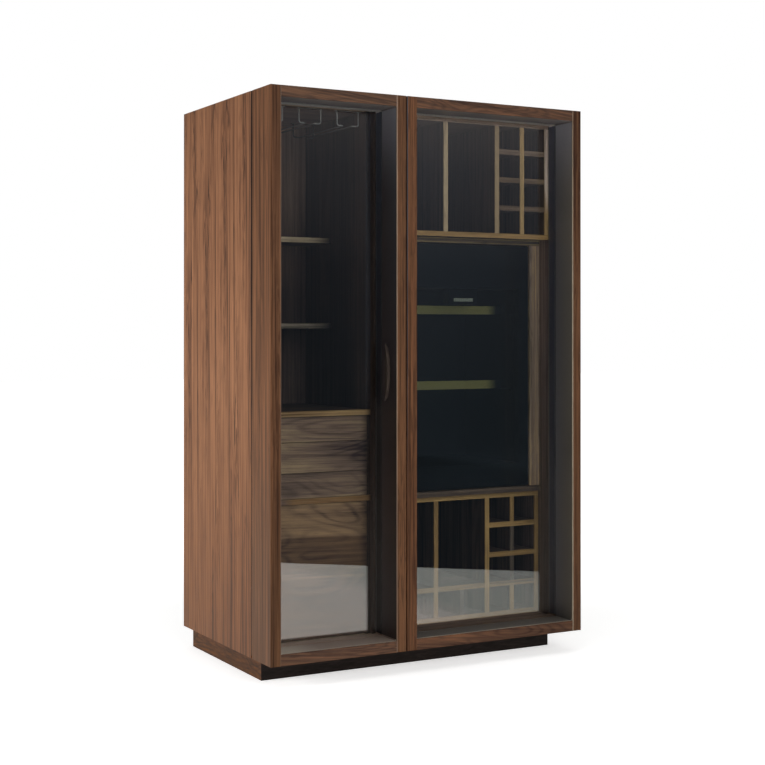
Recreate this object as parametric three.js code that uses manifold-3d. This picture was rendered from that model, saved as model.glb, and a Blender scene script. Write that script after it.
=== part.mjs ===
import * as THREE from 'three';
import { mergeVertices } from 'three/addons/utils/BufferGeometryUtils.js';
import Module from 'manifold-3d';

const wasm = await Module();
wasm.setup();

// Overall size, from the front of the doors to the rear edge and from the floor to the top
const cabinetWidth = 1325;
const cabinetDepth = 825;
const bodyHeight = 2020;
const plinthHeight = 85;

// Fits shared by every piece
const seatGap = 0.3;
const cutOverrun = 5;
const edgeChamfer = 1;
const solidTolerance = 1e-4;

// Plinth
const plinthSideInset = 40;
const plinthBoard = 20;

// Carcass
const carcassBoard = 35;
const partitionThickness = 70;
const leftBayWidth = 462;
const backPanelThickness = 12;
const rearShaft = 105;
const ventSlotHeight = 8;
const ventSlotLength = 70;
const ventSlotSpacing = 90;
const ventRowSpacing = 20;
const ventColumns = 5;
const ventRows = 3;

// Doors: deep box frames with the glass set far back in a liner
const doorDepth = 160;
const hingeGap = 8;
const doorGap = 4;
const doorSplitOffset = 11.5;
const frameFace = 40;
const frameChamfer = 2;
const lipDepth = 6;
const linerThickness = 5;
const glassRecess = 112;
const doorGlassThickness = 6;
const glassGrooveDepth = 3;

// Half-moon pulls on the inner faces of the free stiles
const pullHeight = 207;
const pullSagitta = 22;
const pullThickness = 12;
const pullCentreHeight = 1013;
const pullGlassClearance = 43.5;
const pullBevel = 2;
const pullScoopRadius = 6;
const pullLipThickness = 4;
const pullArcSteps = 18;

// Continuous hinges in the gap between doors and carcass
const hingeAxisInset = 3;
const knuckleRadius = 3;
const hingePinRadius = 1.2;
const hingeBoreRadius = 1.6;
const knuckleCount = 25;
const knuckleGap = 0.5;
const knuckleSides = 10;
const leafThickness = 1.6;
const leafWidth = 28;
const leafKnuckleClearance = 0.8;
const hingeEndMargin = 10;

// Left bay
const bayFrontSetback = 15;
const liningThickness = 20;
const bayBoard = 20;
const lippingDepth = 10;
const shelfSetback = 312;
const upperShelfHeight = 1526;
const lowerShelfHeight = 1194;
const counterHeight = 872;
const shelfPinRadius = 3;
const shelfPinLength = 8;
const shelfPinInset = 45;
const roundSides = 12;

// Drawers
const topDrawerHeight = 90;
const middleDrawerHeight = 110;
const lowDrawerHeight = 91;
const drawerReveal = 2;
const drawerFrontThickness = 20;
const drawerRearGap = 75;
const trayWall = 16;
const trayFloor = 8;
const trayClearance = 1.5;
const trayTopDrop = 12;
const trayBottomRise = 6;
const runnerDepth = 8;
const runnerHeight = 12;
const runnerClearance = 0.5;
const runnerRiseShare = 0.4;

// Stem rack under the left ceiling, three bent wire channels
const stemWireRadius = 3;
const stemLegHeight = 57;
const stemLegWidth = 89;
const stemRailGap = 30;
const stemBendRadius = 9;
const stemFrontSetback = 68;
const stemRearSetback = 92;
const stemSideGap = 1.5;
const stemStrapWidth = 16;
const stemStrapThickness = 2;
const stemStrapOverhang = 8;
const stemWireSides = 10;
const stemBendSteps = 4;

// Bottle-size cell racks above and below the cooler
const rackBoard = 19;
const rackColumns = 6;
const rackBack = 10;
const upperRowPitch = 109.75;
const upperRackRows = 4;
const lowerRowPitch = 117.3;
const lowerRackRows = 4;
const lowerRackSetback = 72;

// Cooler bay
const coolerFloorBoard = 21;
const coolerFloorSetback = 51;
const surroundSetback = 64;
const surroundStile = 47;
const surroundHead = 21;
const surroundThickness = 20;

// Cooler cabinet
const coolerReveal = 4;
const coolerDoorSetback = 66;
const coolerGlassThickness = 4;
const coolerFrameThickness = 34;
const coolerFrameStile = 45;
const coolerFrameHead = 170;
const coolerFrameSill = 90;
const gasketThickness = 7.4;
const gasketWidth = 14;
const gasketInset = 15;
const coolerWall = 42;
const coolerAirGap = 20;
const coolerPinRadius = 2.5;
const coolerPinClearance = 0.3;
const coolerPinDepth = 8;
const coolerPinInset = 5;
const coolerPinEdge = 14;
const controlWidth = 130;
const controlDepth = 46;
const controlHeight = 62;
const controlSetback = 14;
const controlOffset = 40;
const displayWidth = 88;
const displayHeight = 13;
const displayThickness = 2;
const displayDrop = 38;

// Cooler shelves
const coolerShelfSetback = 202;
const coolerShelfDrop = 67.4;
const lowerCoolerShelfShare = 0.52015355;
const shelfBarHeight = 33;
const shelfBarThickness = 18;
const shelfRailWidth = 16;
const shelfRailHeight = 12;
const shelfSlatWidth = 20;
const shelfSlatPitch = 42;
const coolerShelfRearGap = 6;
const coolerShelfClearance = 1;
const ledgeWidth = 12;
const ledgeHeight = 10;
const ledgeFrontInset = 12;

// Planes that several pieces share
const carcassFront = doorDepth + hingeGap;
const bodyBottom = plinthHeight;
const bodyTop = bodyBottom + bodyHeight;
const floorTop = bodyBottom + carcassBoard;
const ceiling = bodyTop - carcassBoard;
const leftBayLeft = carcassBoard;
const leftBayRight = leftBayLeft + leftBayWidth;
const rightBayLeft = leftBayRight + partitionThickness;
const rightBayRight = cabinetWidth - carcassBoard;
const backPanelFront = cabinetDepth - rearShaft - backPanelThickness;
const doorSplit = leftBayRight + partitionThickness / 2 + doorSplitOffset;

const finishes = {
  walnut: new THREE.MeshStandardMaterial({ color: 0x7d5540, roughness: 0.5, metalness: 0 }),
  walnutFront: new THREE.MeshStandardMaterial({ color: 0x6f4b38, roughness: 0.48, metalness: 0 }),
  walnutInside: new THREE.MeshStandardMaterial({ color: 0x4d3a2f, roughness: 0.55, metalness: 0 }),
  lipping: new THREE.MeshStandardMaterial({ color: 0x9a7c52, roughness: 0.5, metalness: 0 }),
  plinth: new THREE.MeshStandardMaterial({ color: 0x3a2a21, roughness: 0.6, metalness: 0 }),
  bronze: new THREE.MeshStandardMaterial({ color: 0x6b655b, roughness: 0.42, metalness: 0.35 }),
  hinge: new THREE.MeshStandardMaterial({ color: 0x1c1b1a, roughness: 0.45, metalness: 0.8 }),
  chrome: new THREE.MeshStandardMaterial({ color: 0xd4d6d8, roughness: 0.12, metalness: 1 }),
  clearGlass: new THREE.MeshStandardMaterial({
    color: 0xdfe6e6, roughness: 0.03, metalness: 0, transparent: true, opacity: 0.25,
  }),
  smokedGlass: new THREE.MeshStandardMaterial({
    color: 0x1b1f22, roughness: 0.04, metalness: 0, transparent: true, opacity: 0.6,
  }),
  coolerBlack: new THREE.MeshStandardMaterial({ color: 0x17181a, roughness: 0.4, metalness: 0.2 }),
  rubber: new THREE.MeshStandardMaterial({ color: 0x141414, roughness: 0.8, metalness: 0 }),
  beech: new THREE.MeshStandardMaterial({ color: 0x8f8250, roughness: 0.55, metalness: 0 }),
  display: new THREE.MeshStandardMaterial({ color: 0x9fa3a4, roughness: 0.4, metalness: 0 }),
};

const at = (x, y, z) => new THREE.Vector3(x, y, z);

// Extrusions run along +Z of their own frame and are then turned to the axis they follow
const planeAxes = { x: ['y', 'z'], y: ['z', 'x'], z: ['x', 'y'] };
const turns = {
  x: new THREE.Matrix4().makeBasis(at(0, 1, 0), at(0, 0, 1), at(1, 0, 0)),
  y: new THREE.Matrix4().makeBasis(at(0, 0, 1), at(1, 0, 0), at(0, 1, 0)),
  z: new THREE.Matrix4(),
};

function prism(outline, length, along) {
  const shape = new THREE.Shape(outline.map(([u, v]) => new THREE.Vector2(u, v)));
  const geometry = new THREE.ExtrudeGeometry(shape, { depth: length, bevelEnabled: false });
  return geometry.applyMatrix4(turns[along]);
}

function chamferedRectangle(width, height, chamfer) {
  return [
    [chamfer, 0], [width - chamfer, 0], [width, chamfer], [width, height - chamfer],
    [width - chamfer, height], [chamfer, height], [0, height - chamfer], [0, chamfer],
  ];
}

function block(low, high) {
  const size = high.clone().sub(low);
  const centre = low.clone().add(high).multiplyScalar(1 / 2);
  return new THREE.BoxGeometry(size.x, size.y, size.z).translate(centre.x, centre.y, centre.z);
}

function rod(radius, from, length, along, sides = roundSides) {
  const geometry = new THREE.CylinderGeometry(radius, radius, length, sides);
  geometry.rotateX(Math.PI / 2).translate(0, 0, length / 2);
  return geometry.applyMatrix4(turns[along]).translate(from.x, from.y, from.z);
}

function toSolid(geometry) {
  const bare = new THREE.BufferGeometry();
  bare.setAttribute('position', geometry.getAttribute('position').clone());
  if (geometry.index) bare.setIndex(geometry.index.clone());
  const merged = mergeVertices(bare, solidTolerance);
  const vertProperties = new Float32Array(merged.getAttribute('position').array);
  const triVerts = new Uint32Array(merged.index.array);
  return new wasm.Manifold(new wasm.Mesh({ numProp: 3, vertProperties, triVerts }));
}

function toGeometry(solid) {
  const mesh = solid.getMesh();
  const geometry = new THREE.BufferGeometry();
  geometry.setAttribute('position', new THREE.BufferAttribute(mesh.vertProperties, mesh.numProp));
  geometry.setIndex(new THREE.BufferAttribute(mesh.triVerts, 1));
  geometry.computeVertexNormals();
  return geometry;
}

const joined = (...geometries) => toGeometry(
  geometries.map(toSolid).reduce((whole, piece) => whole.add(piece)),
);

const cut = (geometry, ...cutters) => toGeometry(
  cutters.map(toSolid).reduce((whole, cutter) => whole.subtract(cutter), toSolid(geometry)),
);

function addPiece(parent, name, geometry, material, place = at(0, 0, 0)) {
  const mesh = new THREE.Mesh(geometry, material);
  mesh.name = name;
  mesh.position.copy(place);
  parent.add(mesh);
  return mesh;
}

// A board has chamfered arrises along its grain
function addBoard(parent, name, material, low, high, along) {
  const size = high.clone().sub(low);
  const [u, v] = planeAxes[along];
  const outline = chamferedRectangle(size[u], size[v], edgeChamfer);
  return addPiece(parent, name, prism(outline, size[along], along), material, low);
}

const cabinet = new THREE.Group();
cabinet.position.set(-cabinetWidth / 2, -cabinetDepth / 2, 0);

function addGroup(place = at(0, 0, 0)) {
  const group = new THREE.Group();
  group.position.copy(place);
  cabinet.add(group);
  return group;
}

// Plinth: four boards glued into a ring, set in at the sides
function buildPlinth(parent) {
  const left = plinthSideInset;
  const right = cabinetWidth - plinthSideInset;
  const corners = (inset) => [
    [left + inset, carcassFront + inset], [right - inset, carcassFront + inset],
    [right - inset, cabinetDepth - inset], [left + inset, cabinetDepth - inset],
  ].map(([x, y]) => new THREE.Vector2(x, y));
  const ring = new THREE.Shape(corners(0));
  ring.holes.push(new THREE.Path(corners(plinthBoard)));
  const settings = { depth: plinthHeight - seatGap, bevelEnabled: false };
  addPiece(parent, 'plinth', new THREE.ExtrudeGeometry(ring, settings), finishes.plinth);
}

// Carcass: two sides, top, bottom, partition and a back set in from the rear edge
function buildCarcass(parent) {
  const sideLow = at(0, carcassFront, bodyBottom);
  const sideHigh = at(carcassBoard, cabinetDepth, bodyTop);
  const across = at(cabinetWidth - carcassBoard, 0, 0);
  addBoard(parent, 'left_side', finishes.walnut, sideLow, sideHigh, 'z');
  sideLow.add(across);
  sideHigh.add(across);
  addBoard(parent, 'right_side', finishes.walnut, sideLow, sideHigh, 'z');
  const innerLeft = carcassBoard + seatGap;
  const innerRight = cabinetWidth - carcassBoard - seatGap;
  const bottomLow = at(innerLeft, carcassFront, bodyBottom);
  const topLow = at(innerLeft, carcassFront, ceiling);
  addBoard(parent, 'bottom_panel', finishes.walnut, bottomLow, at(innerRight, cabinetDepth, floorTop), 'x');
  addBoard(parent, 'top_panel', finishes.walnut, topLow, at(innerRight, cabinetDepth, bodyTop), 'x');
  const partitionLow = at(leftBayRight, carcassFront, floorTop + seatGap);
  const partitionHigh = at(rightBayLeft, backPanelFront - seatGap, ceiling - seatGap);
  addBoard(parent, 'partition', finishes.walnutInside, partitionLow, partitionHigh, 'z');
  buildBack(parent);
}

// Back panel: rows of air slots low down and high up behind the cooler
function buildBack(parent) {
  const rear = backPanelFront + backPanelThickness;
  const low = at(carcassBoard + seatGap, backPanelFront, floorTop + seatGap);
  const high = at(cabinetWidth - carcassBoard - seatGap, rear, ceiling - seatGap);
  const centre = (rightBayLeft + rightBayRight) / 2;
  const slots = [];
  for (const rowBase of [coolerBottom + ventRowSpacing, coolerTop - ventRows * ventRowSpacing]) {
    for (let row = 0; row < ventRows; row += 1) {
      for (let column = 0; column < ventColumns; column += 1) {
        const x = centre + (column - (ventColumns - 1) / 2) * ventSlotSpacing - ventSlotLength / 2;
        const z = rowBase + row * ventRowSpacing;
        const slotLow = at(x, backPanelFront - cutOverrun, z);
        const slotHigh = at(x + ventSlotLength, rear + cutOverrun, z + ventSlotHeight);
        slots.push(block(slotLow, slotHigh));
      }
    }
  }
  addPiece(parent, 'back_panel', cut(block(low, high), ...slots), finishes.walnutInside);
}

// Heights in the left bay, with the drawer stack built up from its fronts
const bayFront = carcassFront + bayFrontSetback;
const liningFront = bayFront + lippingDepth + seatGap;
const bayInnerLeft = leftBayLeft + liningThickness;
const bayInnerRight = leftBayRight - liningThickness;
const drawerRear = backPanelFront - drawerRearGap;
const drawerHeights = [topDrawerHeight, middleDrawerHeight, lowDrawerHeight];
const stackHeight = drawerHeights.reduce((sum, height) => sum + height + drawerReveal, drawerReveal);
const stackTop = bodyBottom + counterHeight - bayBoard;
const stackBottom = stackTop - stackHeight;
const shelfTops = [bodyBottom + upperShelfHeight, bodyBottom + lowerShelfHeight];

// The deep drawer passes over the bottom rail of the open door, so it starts above that rail
function drawerPlan() {
  const plan = [];
  let top = stackTop - drawerReveal;
  drawerHeights.forEach((height, index) => {
    plan.push({ name: `drawer_${index + 1}`, low: top - height, height, trayHeight: height - trayTopDrop });
    top -= height + drawerReveal;
  });
  const deepTop = stackBottom - bayBoard - drawerReveal;
  const deepLow = bodyBottom + frameFace + drawerReveal;
  const deepHeight = deepTop - deepLow;
  plan.push({ name: 'deep_drawer', low: deepLow, height: deepHeight, trayHeight: deepHeight - trayTopDrop });
  return plan;
}

const drawers = drawerPlan();
const runnerLow = (drawer) => drawer.low + drawer.trayHeight * runnerRiseShare;

// Linings carry the drawer runners and the shelf pins; side is +1 on the left and -1 on the right
function buildLining(parent, name, side) {
  const wall = side > 0 ? leftBayLeft + seatGap : leftBayRight - seatGap;
  const face = side > 0 ? bayInnerLeft : bayInnerRight;
  const span = (from, to) => [Math.min(from, to), Math.max(from, to)];
  const [left, right] = span(wall, face);
  const pieces = [
    block(at(left, liningFront, floorTop + seatGap), at(right, backPanelFront - seatGap, ceiling - seatGap)),
  ];
  const middle = (left + right) / 2;
  for (const drawer of drawers) {
    const [from, to] = span(middle, face + side * runnerDepth);
    const low = runnerLow(drawer);
    const start = bayFront + drawerFrontThickness + lippingDepth;
    pieces.push(block(at(from, start, low), at(to, drawerRear, low + runnerHeight)));
  }
  for (const top of shelfTops) {
    for (const y of [carcassFront + shelfSetback + shelfPinInset, backPanelFront - shelfPinInset]) {
      const [from, to] = span(middle, face + side * shelfPinLength);
      const z = top - bayBoard - seatGap - shelfPinRadius;
      pieces.push(rod(shelfPinRadius, at(from, y, z), to - from, 'x'));
    }
  }
  addPiece(parent, name, joined(...pieces), finishes.walnutInside);
}

// Fixed boards have a light lipping that runs over the front edges of both linings
function buildFixedBoard(parent, name, low) {
  const body = block(
    at(bayInnerLeft + seatGap, bayFront + lippingDepth / 2, low),
    at(bayInnerRight - seatGap, backPanelFront - seatGap, low + bayBoard),
  );
  const lipping = block(
    at(leftBayLeft + seatGap, bayFront, low),
    at(leftBayRight - seatGap, bayFront + lippingDepth, low + bayBoard),
  );
  addPiece(parent, name, joined(body, lipping), finishes.lipping);
}

function buildDrawer(parent, { name, low, height, trayHeight }) {
  const trayLeft = bayInnerLeft + trayClearance;
  const trayRight = bayInnerRight - trayClearance;
  const frontBack = bayFront + drawerFrontThickness;
  const trayLow = low + trayBottomRise;
  const trayTop = trayLow + trayHeight - trayBottomRise;
  const front = block(at(trayLeft, bayFront, low), at(trayRight, frontBack, low + height));
  const trayStart = bayFront + drawerFrontThickness / 2;
  const tray = block(at(trayLeft, trayStart, trayLow), at(trayRight, drawerRear, trayTop));
  const hollow = block(
    at(trayLeft + trayWall, frontBack, trayLow + trayFloor),
    at(trayRight - trayWall, drawerRear - trayWall, trayTop + cutOverrun),
  );
  const grooveDepth = runnerDepth - trayClearance + runnerClearance;
  const grooveLow = runnerLow({ low, trayHeight }) - seatGap;
  const grooveHigh = grooveLow + runnerHeight + 2 * seatGap;
  const grooveSpans = [
    [trayLeft - cutOverrun, trayLeft + grooveDepth],
    [trayRight - grooveDepth, trayRight + cutOverrun],
  ];
  const grooves = grooveSpans.map(([from, to]) => block(
    at(from, frontBack, grooveLow),
    at(to, drawerRear + cutOverrun, grooveHigh),
  ));
  addPiece(parent, name, cut(joined(front, tray), hollow, ...grooves), finishes.walnutFront);
}

function buildLeftBay(parent) {
  buildLining(parent, 'left_lining', 1);
  buildLining(parent, 'right_lining', -1);
  ['upper_shelf', 'lower_shelf'].forEach((name, index) => {
    const low = at(bayInnerLeft + seatGap, carcassFront + shelfSetback, shelfTops[index] - bayBoard);
    const high = at(bayInnerRight - seatGap, backPanelFront - seatGap, shelfTops[index]);
    addBoard(parent, name, finishes.lipping, low, high, 'x');
  });
  buildFixedBoard(parent, 'counter_board', stackTop);
  buildFixedBoard(parent, 'drawer_base_board', stackBottom - bayBoard);
  drawers.forEach((drawer) => buildDrawer(parent, drawer));
}

// A bent wire: straight runs between corners, each corner turned on an arc of a few stations
class BentWire extends THREE.Curve {
  constructor(corners, bendRadius, bendSteps) {
    super();
    this.stations = [corners[0]];
    for (let i = 1; i < corners.length - 1; i += 1) {
      const inward = corners[i - 1].clone().sub(corners[i]).normalize();
      const outward = corners[i + 1].clone().sub(corners[i]).normalize();
      const centre = inward.clone().add(outward).multiplyScalar(bendRadius).add(corners[i]);
      for (let step = 0; step <= bendSteps; step += 1) {
        const turn = (Math.PI / 2) * (step / bendSteps);
        const arm = outward.clone().multiplyScalar(-Math.cos(turn)).addScaledVector(inward, -Math.sin(turn));
        this.stations.push(centre.clone().addScaledVector(arm, bendRadius));
      }
    }
    this.stations.push(corners[corners.length - 1]);
  }

  getPoint(t) {
    const place = t * (this.stations.length - 1);
    const index = Math.min(Math.floor(place), this.stations.length - 2);
    return this.stations[index].clone().lerp(this.stations[index + 1], place - index);
  }

  getPointAt(u) {
    return this.getPoint(u);
  }

  getTangentAt(u) {
    const index = Math.round(u * (this.stations.length - 1));
    const before = this.stations[Math.max(index - 1, 0)];
    const after = this.stations[Math.min(index + 1, this.stations.length - 1)];
    return after.clone().sub(before).normalize();
  }
}

function wireTube(corners) {
  const path = new BentWire(corners, stemBendRadius, stemBendSteps);
  const section = new THREE.Shape();
  for (let i = 0; i < stemWireSides; i += 1) {
    const angle = (2 * Math.PI * i) / stemWireSides;
    const point = [stemWireRadius * Math.cos(angle), stemWireRadius * Math.sin(angle)];
    if (i === 0) section.moveTo(...point);
    else section.lineTo(...point);
  }
  section.closePath();
  const steps = path.stations.length - 1;
  return new THREE.ExtrudeGeometry(section, { extrudePath: path, steps, bevelEnabled: false });
}

const stemReach = stemLegWidth / 2 + stemStrapOverhang;

// One stem channel: two bent wires hung from a front and a rear strap, open at the front
function buildStemChannel(parent, name, centre) {
  const top = ceiling - seatGap - stemStrapThickness / 2;
  const rail = ceiling - seatGap - stemLegHeight + stemWireRadius;
  const front = carcassFront + stemFrontSetback;
  const rear = backPanelFront - stemRearSetback;
  const pieces = [];
  for (const side of [-1, 1]) {
    const leg = centre + side * (stemLegWidth / 2);
    const inner = centre + side * (stemRailGap / 2 + stemWireRadius);
    pieces.push(wireTube([
      at(leg, front, top), at(leg, front, rail), at(inner, front, rail),
      at(inner, rear, rail), at(leg, rear, rail), at(leg, rear, top),
    ]));
  }
  for (const y of [front, rear]) {
    const low = at(centre - stemReach, y - stemStrapWidth / 2, ceiling - seatGap - stemStrapThickness);
    const high = at(centre + stemReach, y + stemStrapWidth / 2, ceiling - seatGap);
    pieces.push(block(low, high));
  }
  addPiece(parent, name, joined(...pieces), finishes.chrome);
}

function buildStemRack(parent) {
  const centre = (bayInnerLeft + bayInnerRight) / 2;
  const sideStep = (bayInnerRight - bayInnerLeft) / 2 - stemSideGap - stemReach;
  buildStemChannel(parent, 'stem_rack_left', centre - sideStep);
  buildStemChannel(parent, 'stem_rack_middle', centre);
  buildStemChannel(parent, 'stem_rack_right', centre + sideStep);
}

// Cell racks: a box with three dividers and three shelves that cross one of them in halved joints
const rackLeft = rightBayLeft + seatGap;
const rackRight = rightBayRight - seatGap;
const rackRear = backPanelFront - seatGap;
const rackInnerRear = rackRear - rackBack;
const columnPitch = (rackRight - rackLeft - rackBoard) / rackColumns;
const columnLeft = (column) => rackLeft + column * columnPitch;
const upperRackHeight = upperRackRows * upperRowPitch + rackBoard;
const lowerRackHeight = lowerRackRows * lowerRowPitch + rackBoard;
const upperRack = {
  prefix: 'upper_rack', front: carcassFront, low: ceiling - seatGap - upperRackHeight,
  height: upperRackHeight, rowPitch: upperRowPitch,
};
const lowerRack = {
  prefix: 'lower_rack', front: carcassFront + lowerRackSetback, low: floorTop + seatGap,
  height: lowerRackHeight, rowPitch: lowerRowPitch,
};
const coolerBottom = lowerRack.low + lowerRack.height + seatGap + coolerFloorBoard;
const coolerTop = upperRack.low - seatGap - surroundHead;
const wideCellColumn = 2;
const cellColumn = 4;
const crossedColumn = 5;
const shortDividerColumns = [1, 3];

function buildRackBox(parent, rack) {
  const outer = block(
    at(rackLeft, rack.front, rack.low),
    at(rackRight, rackRear, rack.low + rack.height),
  );
  const hollow = block(
    at(rackLeft + rackBoard, rack.front - cutOverrun, rack.low + rackBoard),
    at(rackRight - rackBoard, rackInnerRear, rack.low + rack.height - rackBoard),
  );
  addPiece(parent, `${rack.prefix}_box`, cut(outer, hollow), finishes.lipping);
}

// A halved joint takes the front or the rear half of a board where another board crosses it
function slotAcross(rack, low, high, half) {
  const middle = (rack.front + rackInnerRear) / 2;
  const from = half === 'front' ? rack.front - cutOverrun : middle;
  const to = half === 'front' ? middle + seatGap : rackRear + cutOverrun;
  return block(at(low.x, from, low.z), at(high.x, to, high.z));
}

const dividerSlot = (rack, row, half) => {
  const low = rack.low + row * rack.rowPitch;
  const x = [rackLeft, rackRight];
  return slotAcross(rack, at(x[0], 0, low - seatGap), at(x[1], 0, low + rackBoard + seatGap), half);
};

const shelfSlot = (rack, column, half) => {
  const left = columnLeft(column);
  const top = rack.low + rack.height;
  return slotAcross(rack, at(left - seatGap, 0, rack.low), at(left + rackBoard + seatGap, 0, top), half);
};

function rackDivider(rack, column, slots) {
  const low = at(columnLeft(column), rack.front, rack.low + rackBoard + seatGap);
  const high = at(
    columnLeft(column) + rackBoard,
    rackInnerRear - seatGap,
    rack.low + rack.height - rackBoard - seatGap,
  );
  return cut(block(low, high), ...slots);
}

function rackShelf(rack, row, fromColumn, slots) {
  const bottom = rack.low + row * rack.rowPitch;
  const low = at(columnLeft(fromColumn) + rackBoard + seatGap, rack.front, bottom);
  const high = at(rackRight - rackBoard - seatGap, rackInnerRear - seatGap, bottom + rackBoard);
  return cut(block(low, high), ...slots);
}

function buildUpperRack(parent) {
  const rack = upperRack;
  const rows = [1, 2, 3];
  buildRackBox(parent, rack);
  addPiece(parent, 'upper_rack_divider_1', rackDivider(rack, wideCellColumn, []), finishes.lipping);
  addPiece(parent, 'upper_rack_divider_2', rackDivider(rack, cellColumn, []), finishes.lipping);
  const crossed = rackDivider(rack, crossedColumn, rows.map((row) => dividerSlot(rack, row, 'rear')));
  addPiece(parent, 'upper_rack_divider_3', crossed, finishes.lipping);
  for (const row of rows) {
    const shelf = rackShelf(rack, row, cellColumn, [shelfSlot(rack, crossedColumn, 'front')]);
    addPiece(parent, `upper_rack_shelf_${row}`, shelf, finishes.lipping);
  }
}

// The lower rack has a long shelf over its bottom row, with two short dividers under it
function buildLowerRack(parent) {
  const rack = lowerRack;
  buildRackBox(parent, rack);
  [wideCellColumn, cellColumn].forEach((column, index) => {
    const divider = rackDivider(rack, column, [dividerSlot(rack, 1, 'rear')]);
    addPiece(parent, `lower_rack_divider_${index + 1}`, divider, finishes.lipping);
  });
  const crossed = rackDivider(rack, crossedColumn, [1, 2, 3].map((row) => dividerSlot(rack, row, 'front')));
  addPiece(parent, 'lower_rack_divider_3', crossed, finishes.lipping);
  for (const row of [2, 3]) {
    const shelf = rackShelf(rack, row, cellColumn, [shelfSlot(rack, crossedColumn, 'rear')]);
    addPiece(parent, `lower_rack_shelf_${row}`, shelf, finishes.lipping);
  }
  const longShelf = rackShelf(rack, 1, 0, [
    shelfSlot(rack, wideCellColumn, 'front'), shelfSlot(rack, cellColumn, 'front'),
    shelfSlot(rack, crossedColumn, 'rear'),
  ]);
  const shelfBottom = rack.low + rack.rowPitch;
  const stubs = shortDividerColumns.map((column) => block(
    at(columnLeft(column), rack.front, rack.low + rackBoard + seatGap),
    at(columnLeft(column) + rackBoard, rackInnerRear - seatGap, shelfBottom + rackBoard / 2),
  ));
  addPiece(parent, 'lower_rack_shelf_1', joined(longShelf, ...stubs), finishes.lipping);
}

// Cooler bay: the projecting floor board carries a three-sided surround
const surroundFront = carcassFront + surroundSetback;
const openingLeft = rackLeft + surroundStile;
const openingRight = rackRight - surroundStile;
const coolerDoorLeft = openingLeft + coolerReveal;
const coolerDoorRight = openingRight - coolerReveal;
const coolerDoorLow = coolerBottom + coolerReveal;
const coolerDoorHigh = coolerTop - coolerReveal;
const coolerDoorFront = carcassFront + coolerDoorSetback;
const coolerFrameFront = coolerDoorFront + coolerGlassThickness + seatGap;
const coolerFrameRear = coolerFrameFront + coolerFrameThickness;
const housingFront = coolerFrameRear + seatGap + gasketThickness + seatGap;
const housingRear = backPanelFront - coolerAirGap;
const coolerPinX = coolerDoorRight - coolerPinEdge;
const coolerPinY = coolerFrameFront + coolerPinInset;
const coolerInsideLow = coolerDoorLow + coolerFrameSill;
const coolerInsideHigh = coolerDoorHigh - coolerFrameHead;
const controlCentre = (coolerDoorLeft + coolerDoorRight) / 2 + controlOffset;
const controlFront = housingFront + controlSetback;

function buildSurround(parent) {
  const rear = surroundFront + surroundThickness;
  const bury = coolerFloorBoard / 2;
  const floor = block(
    at(rackLeft, carcassFront + coolerFloorSetback, coolerBottom - coolerFloorBoard),
    at(rackRight, backPanelFront - seatGap, coolerBottom),
  );
  const head = block(at(rackLeft, surroundFront, coolerTop), at(rackRight, rear, coolerTop + surroundHead));
  const stiles = [[rackLeft, openingLeft], [openingRight, rackRight]].map(([from, to]) => block(
    at(from, surroundFront, coolerBottom - bury), at(to, rear, coolerTop + surroundHead / 2),
  ));
  const bore = coolerPinRadius + coolerPinClearance;
  const depth = coolerPinDepth + seatGap + cutOverrun;
  const holes = [coolerBottom - coolerPinDepth - seatGap, coolerTop - cutOverrun]
    .map((z) => rod(bore, at(coolerPinX, coolerPinY, z), depth, 'z'));
  addPiece(parent, 'cooler_surround', cut(joined(floor, head, ...stiles), ...holes), finishes.walnutInside);
}

// The upper shelf hangs a named drop below the cooler's ceiling, the lower one divides what is left
const upperShelfTop = coolerInsideHigh - coolerShelfDrop;
const lowerShelfTop = coolerInsideLow + lowerCoolerShelfShare * (upperShelfTop - coolerInsideLow);
const coolerShelves = [
  { name: 'cooler_shelf_1', top: upperShelfTop },
  { name: 'cooler_shelf_2', top: lowerShelfTop },
];

// Insulated cabinet, open at the front: a control box under its ceiling and ledges for the shelves
function buildHousing(parent) {
  const outer = block(
    at(coolerDoorLeft, housingFront, coolerBottom + seatGap),
    at(coolerDoorRight, housingRear, coolerDoorHigh),
  );
  const insideLeft = coolerDoorLeft + coolerWall;
  const insideRight = coolerDoorRight - coolerWall;
  const hollow = block(
    at(insideLeft, housingFront - cutOverrun, coolerInsideLow),
    at(insideRight, housingRear - coolerWall, coolerInsideHigh),
  );
  const control = block(
    at(controlCentre - controlWidth / 2, controlFront, coolerInsideHigh - controlHeight),
    at(controlCentre + controlWidth / 2, controlFront + controlDepth, coolerInsideHigh + coolerWall / 2),
  );
  const ledges = [];
  const bury = coolerWall / 2;
  const ledgeSpans = [
    [insideLeft - bury, insideLeft + ledgeWidth],
    [insideRight - ledgeWidth, insideRight + bury],
  ];
  for (const { top } of coolerShelves) {
    const high = top - shelfBarHeight - seatGap;
    for (const [from, to] of ledgeSpans) {
      const low = at(from, housingFront + ledgeFrontInset, high - ledgeHeight);
      ledges.push(block(low, at(to, housingRear - bury, high)));
    }
  }
  addPiece(parent, 'cooler_housing', joined(cut(outer, hollow), control, ...ledges), finishes.coolerBlack);
  const displayTop = coolerInsideHigh - displayDrop;
  const displayRear = controlFront - seatGap;
  addPiece(parent, 'cooler_display', block(
    at(controlCentre - displayWidth / 2, displayRear - displayThickness, displayTop - displayHeight),
    at(controlCentre + displayWidth / 2, displayRear, displayTop),
  ), finishes.display);
}

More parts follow.
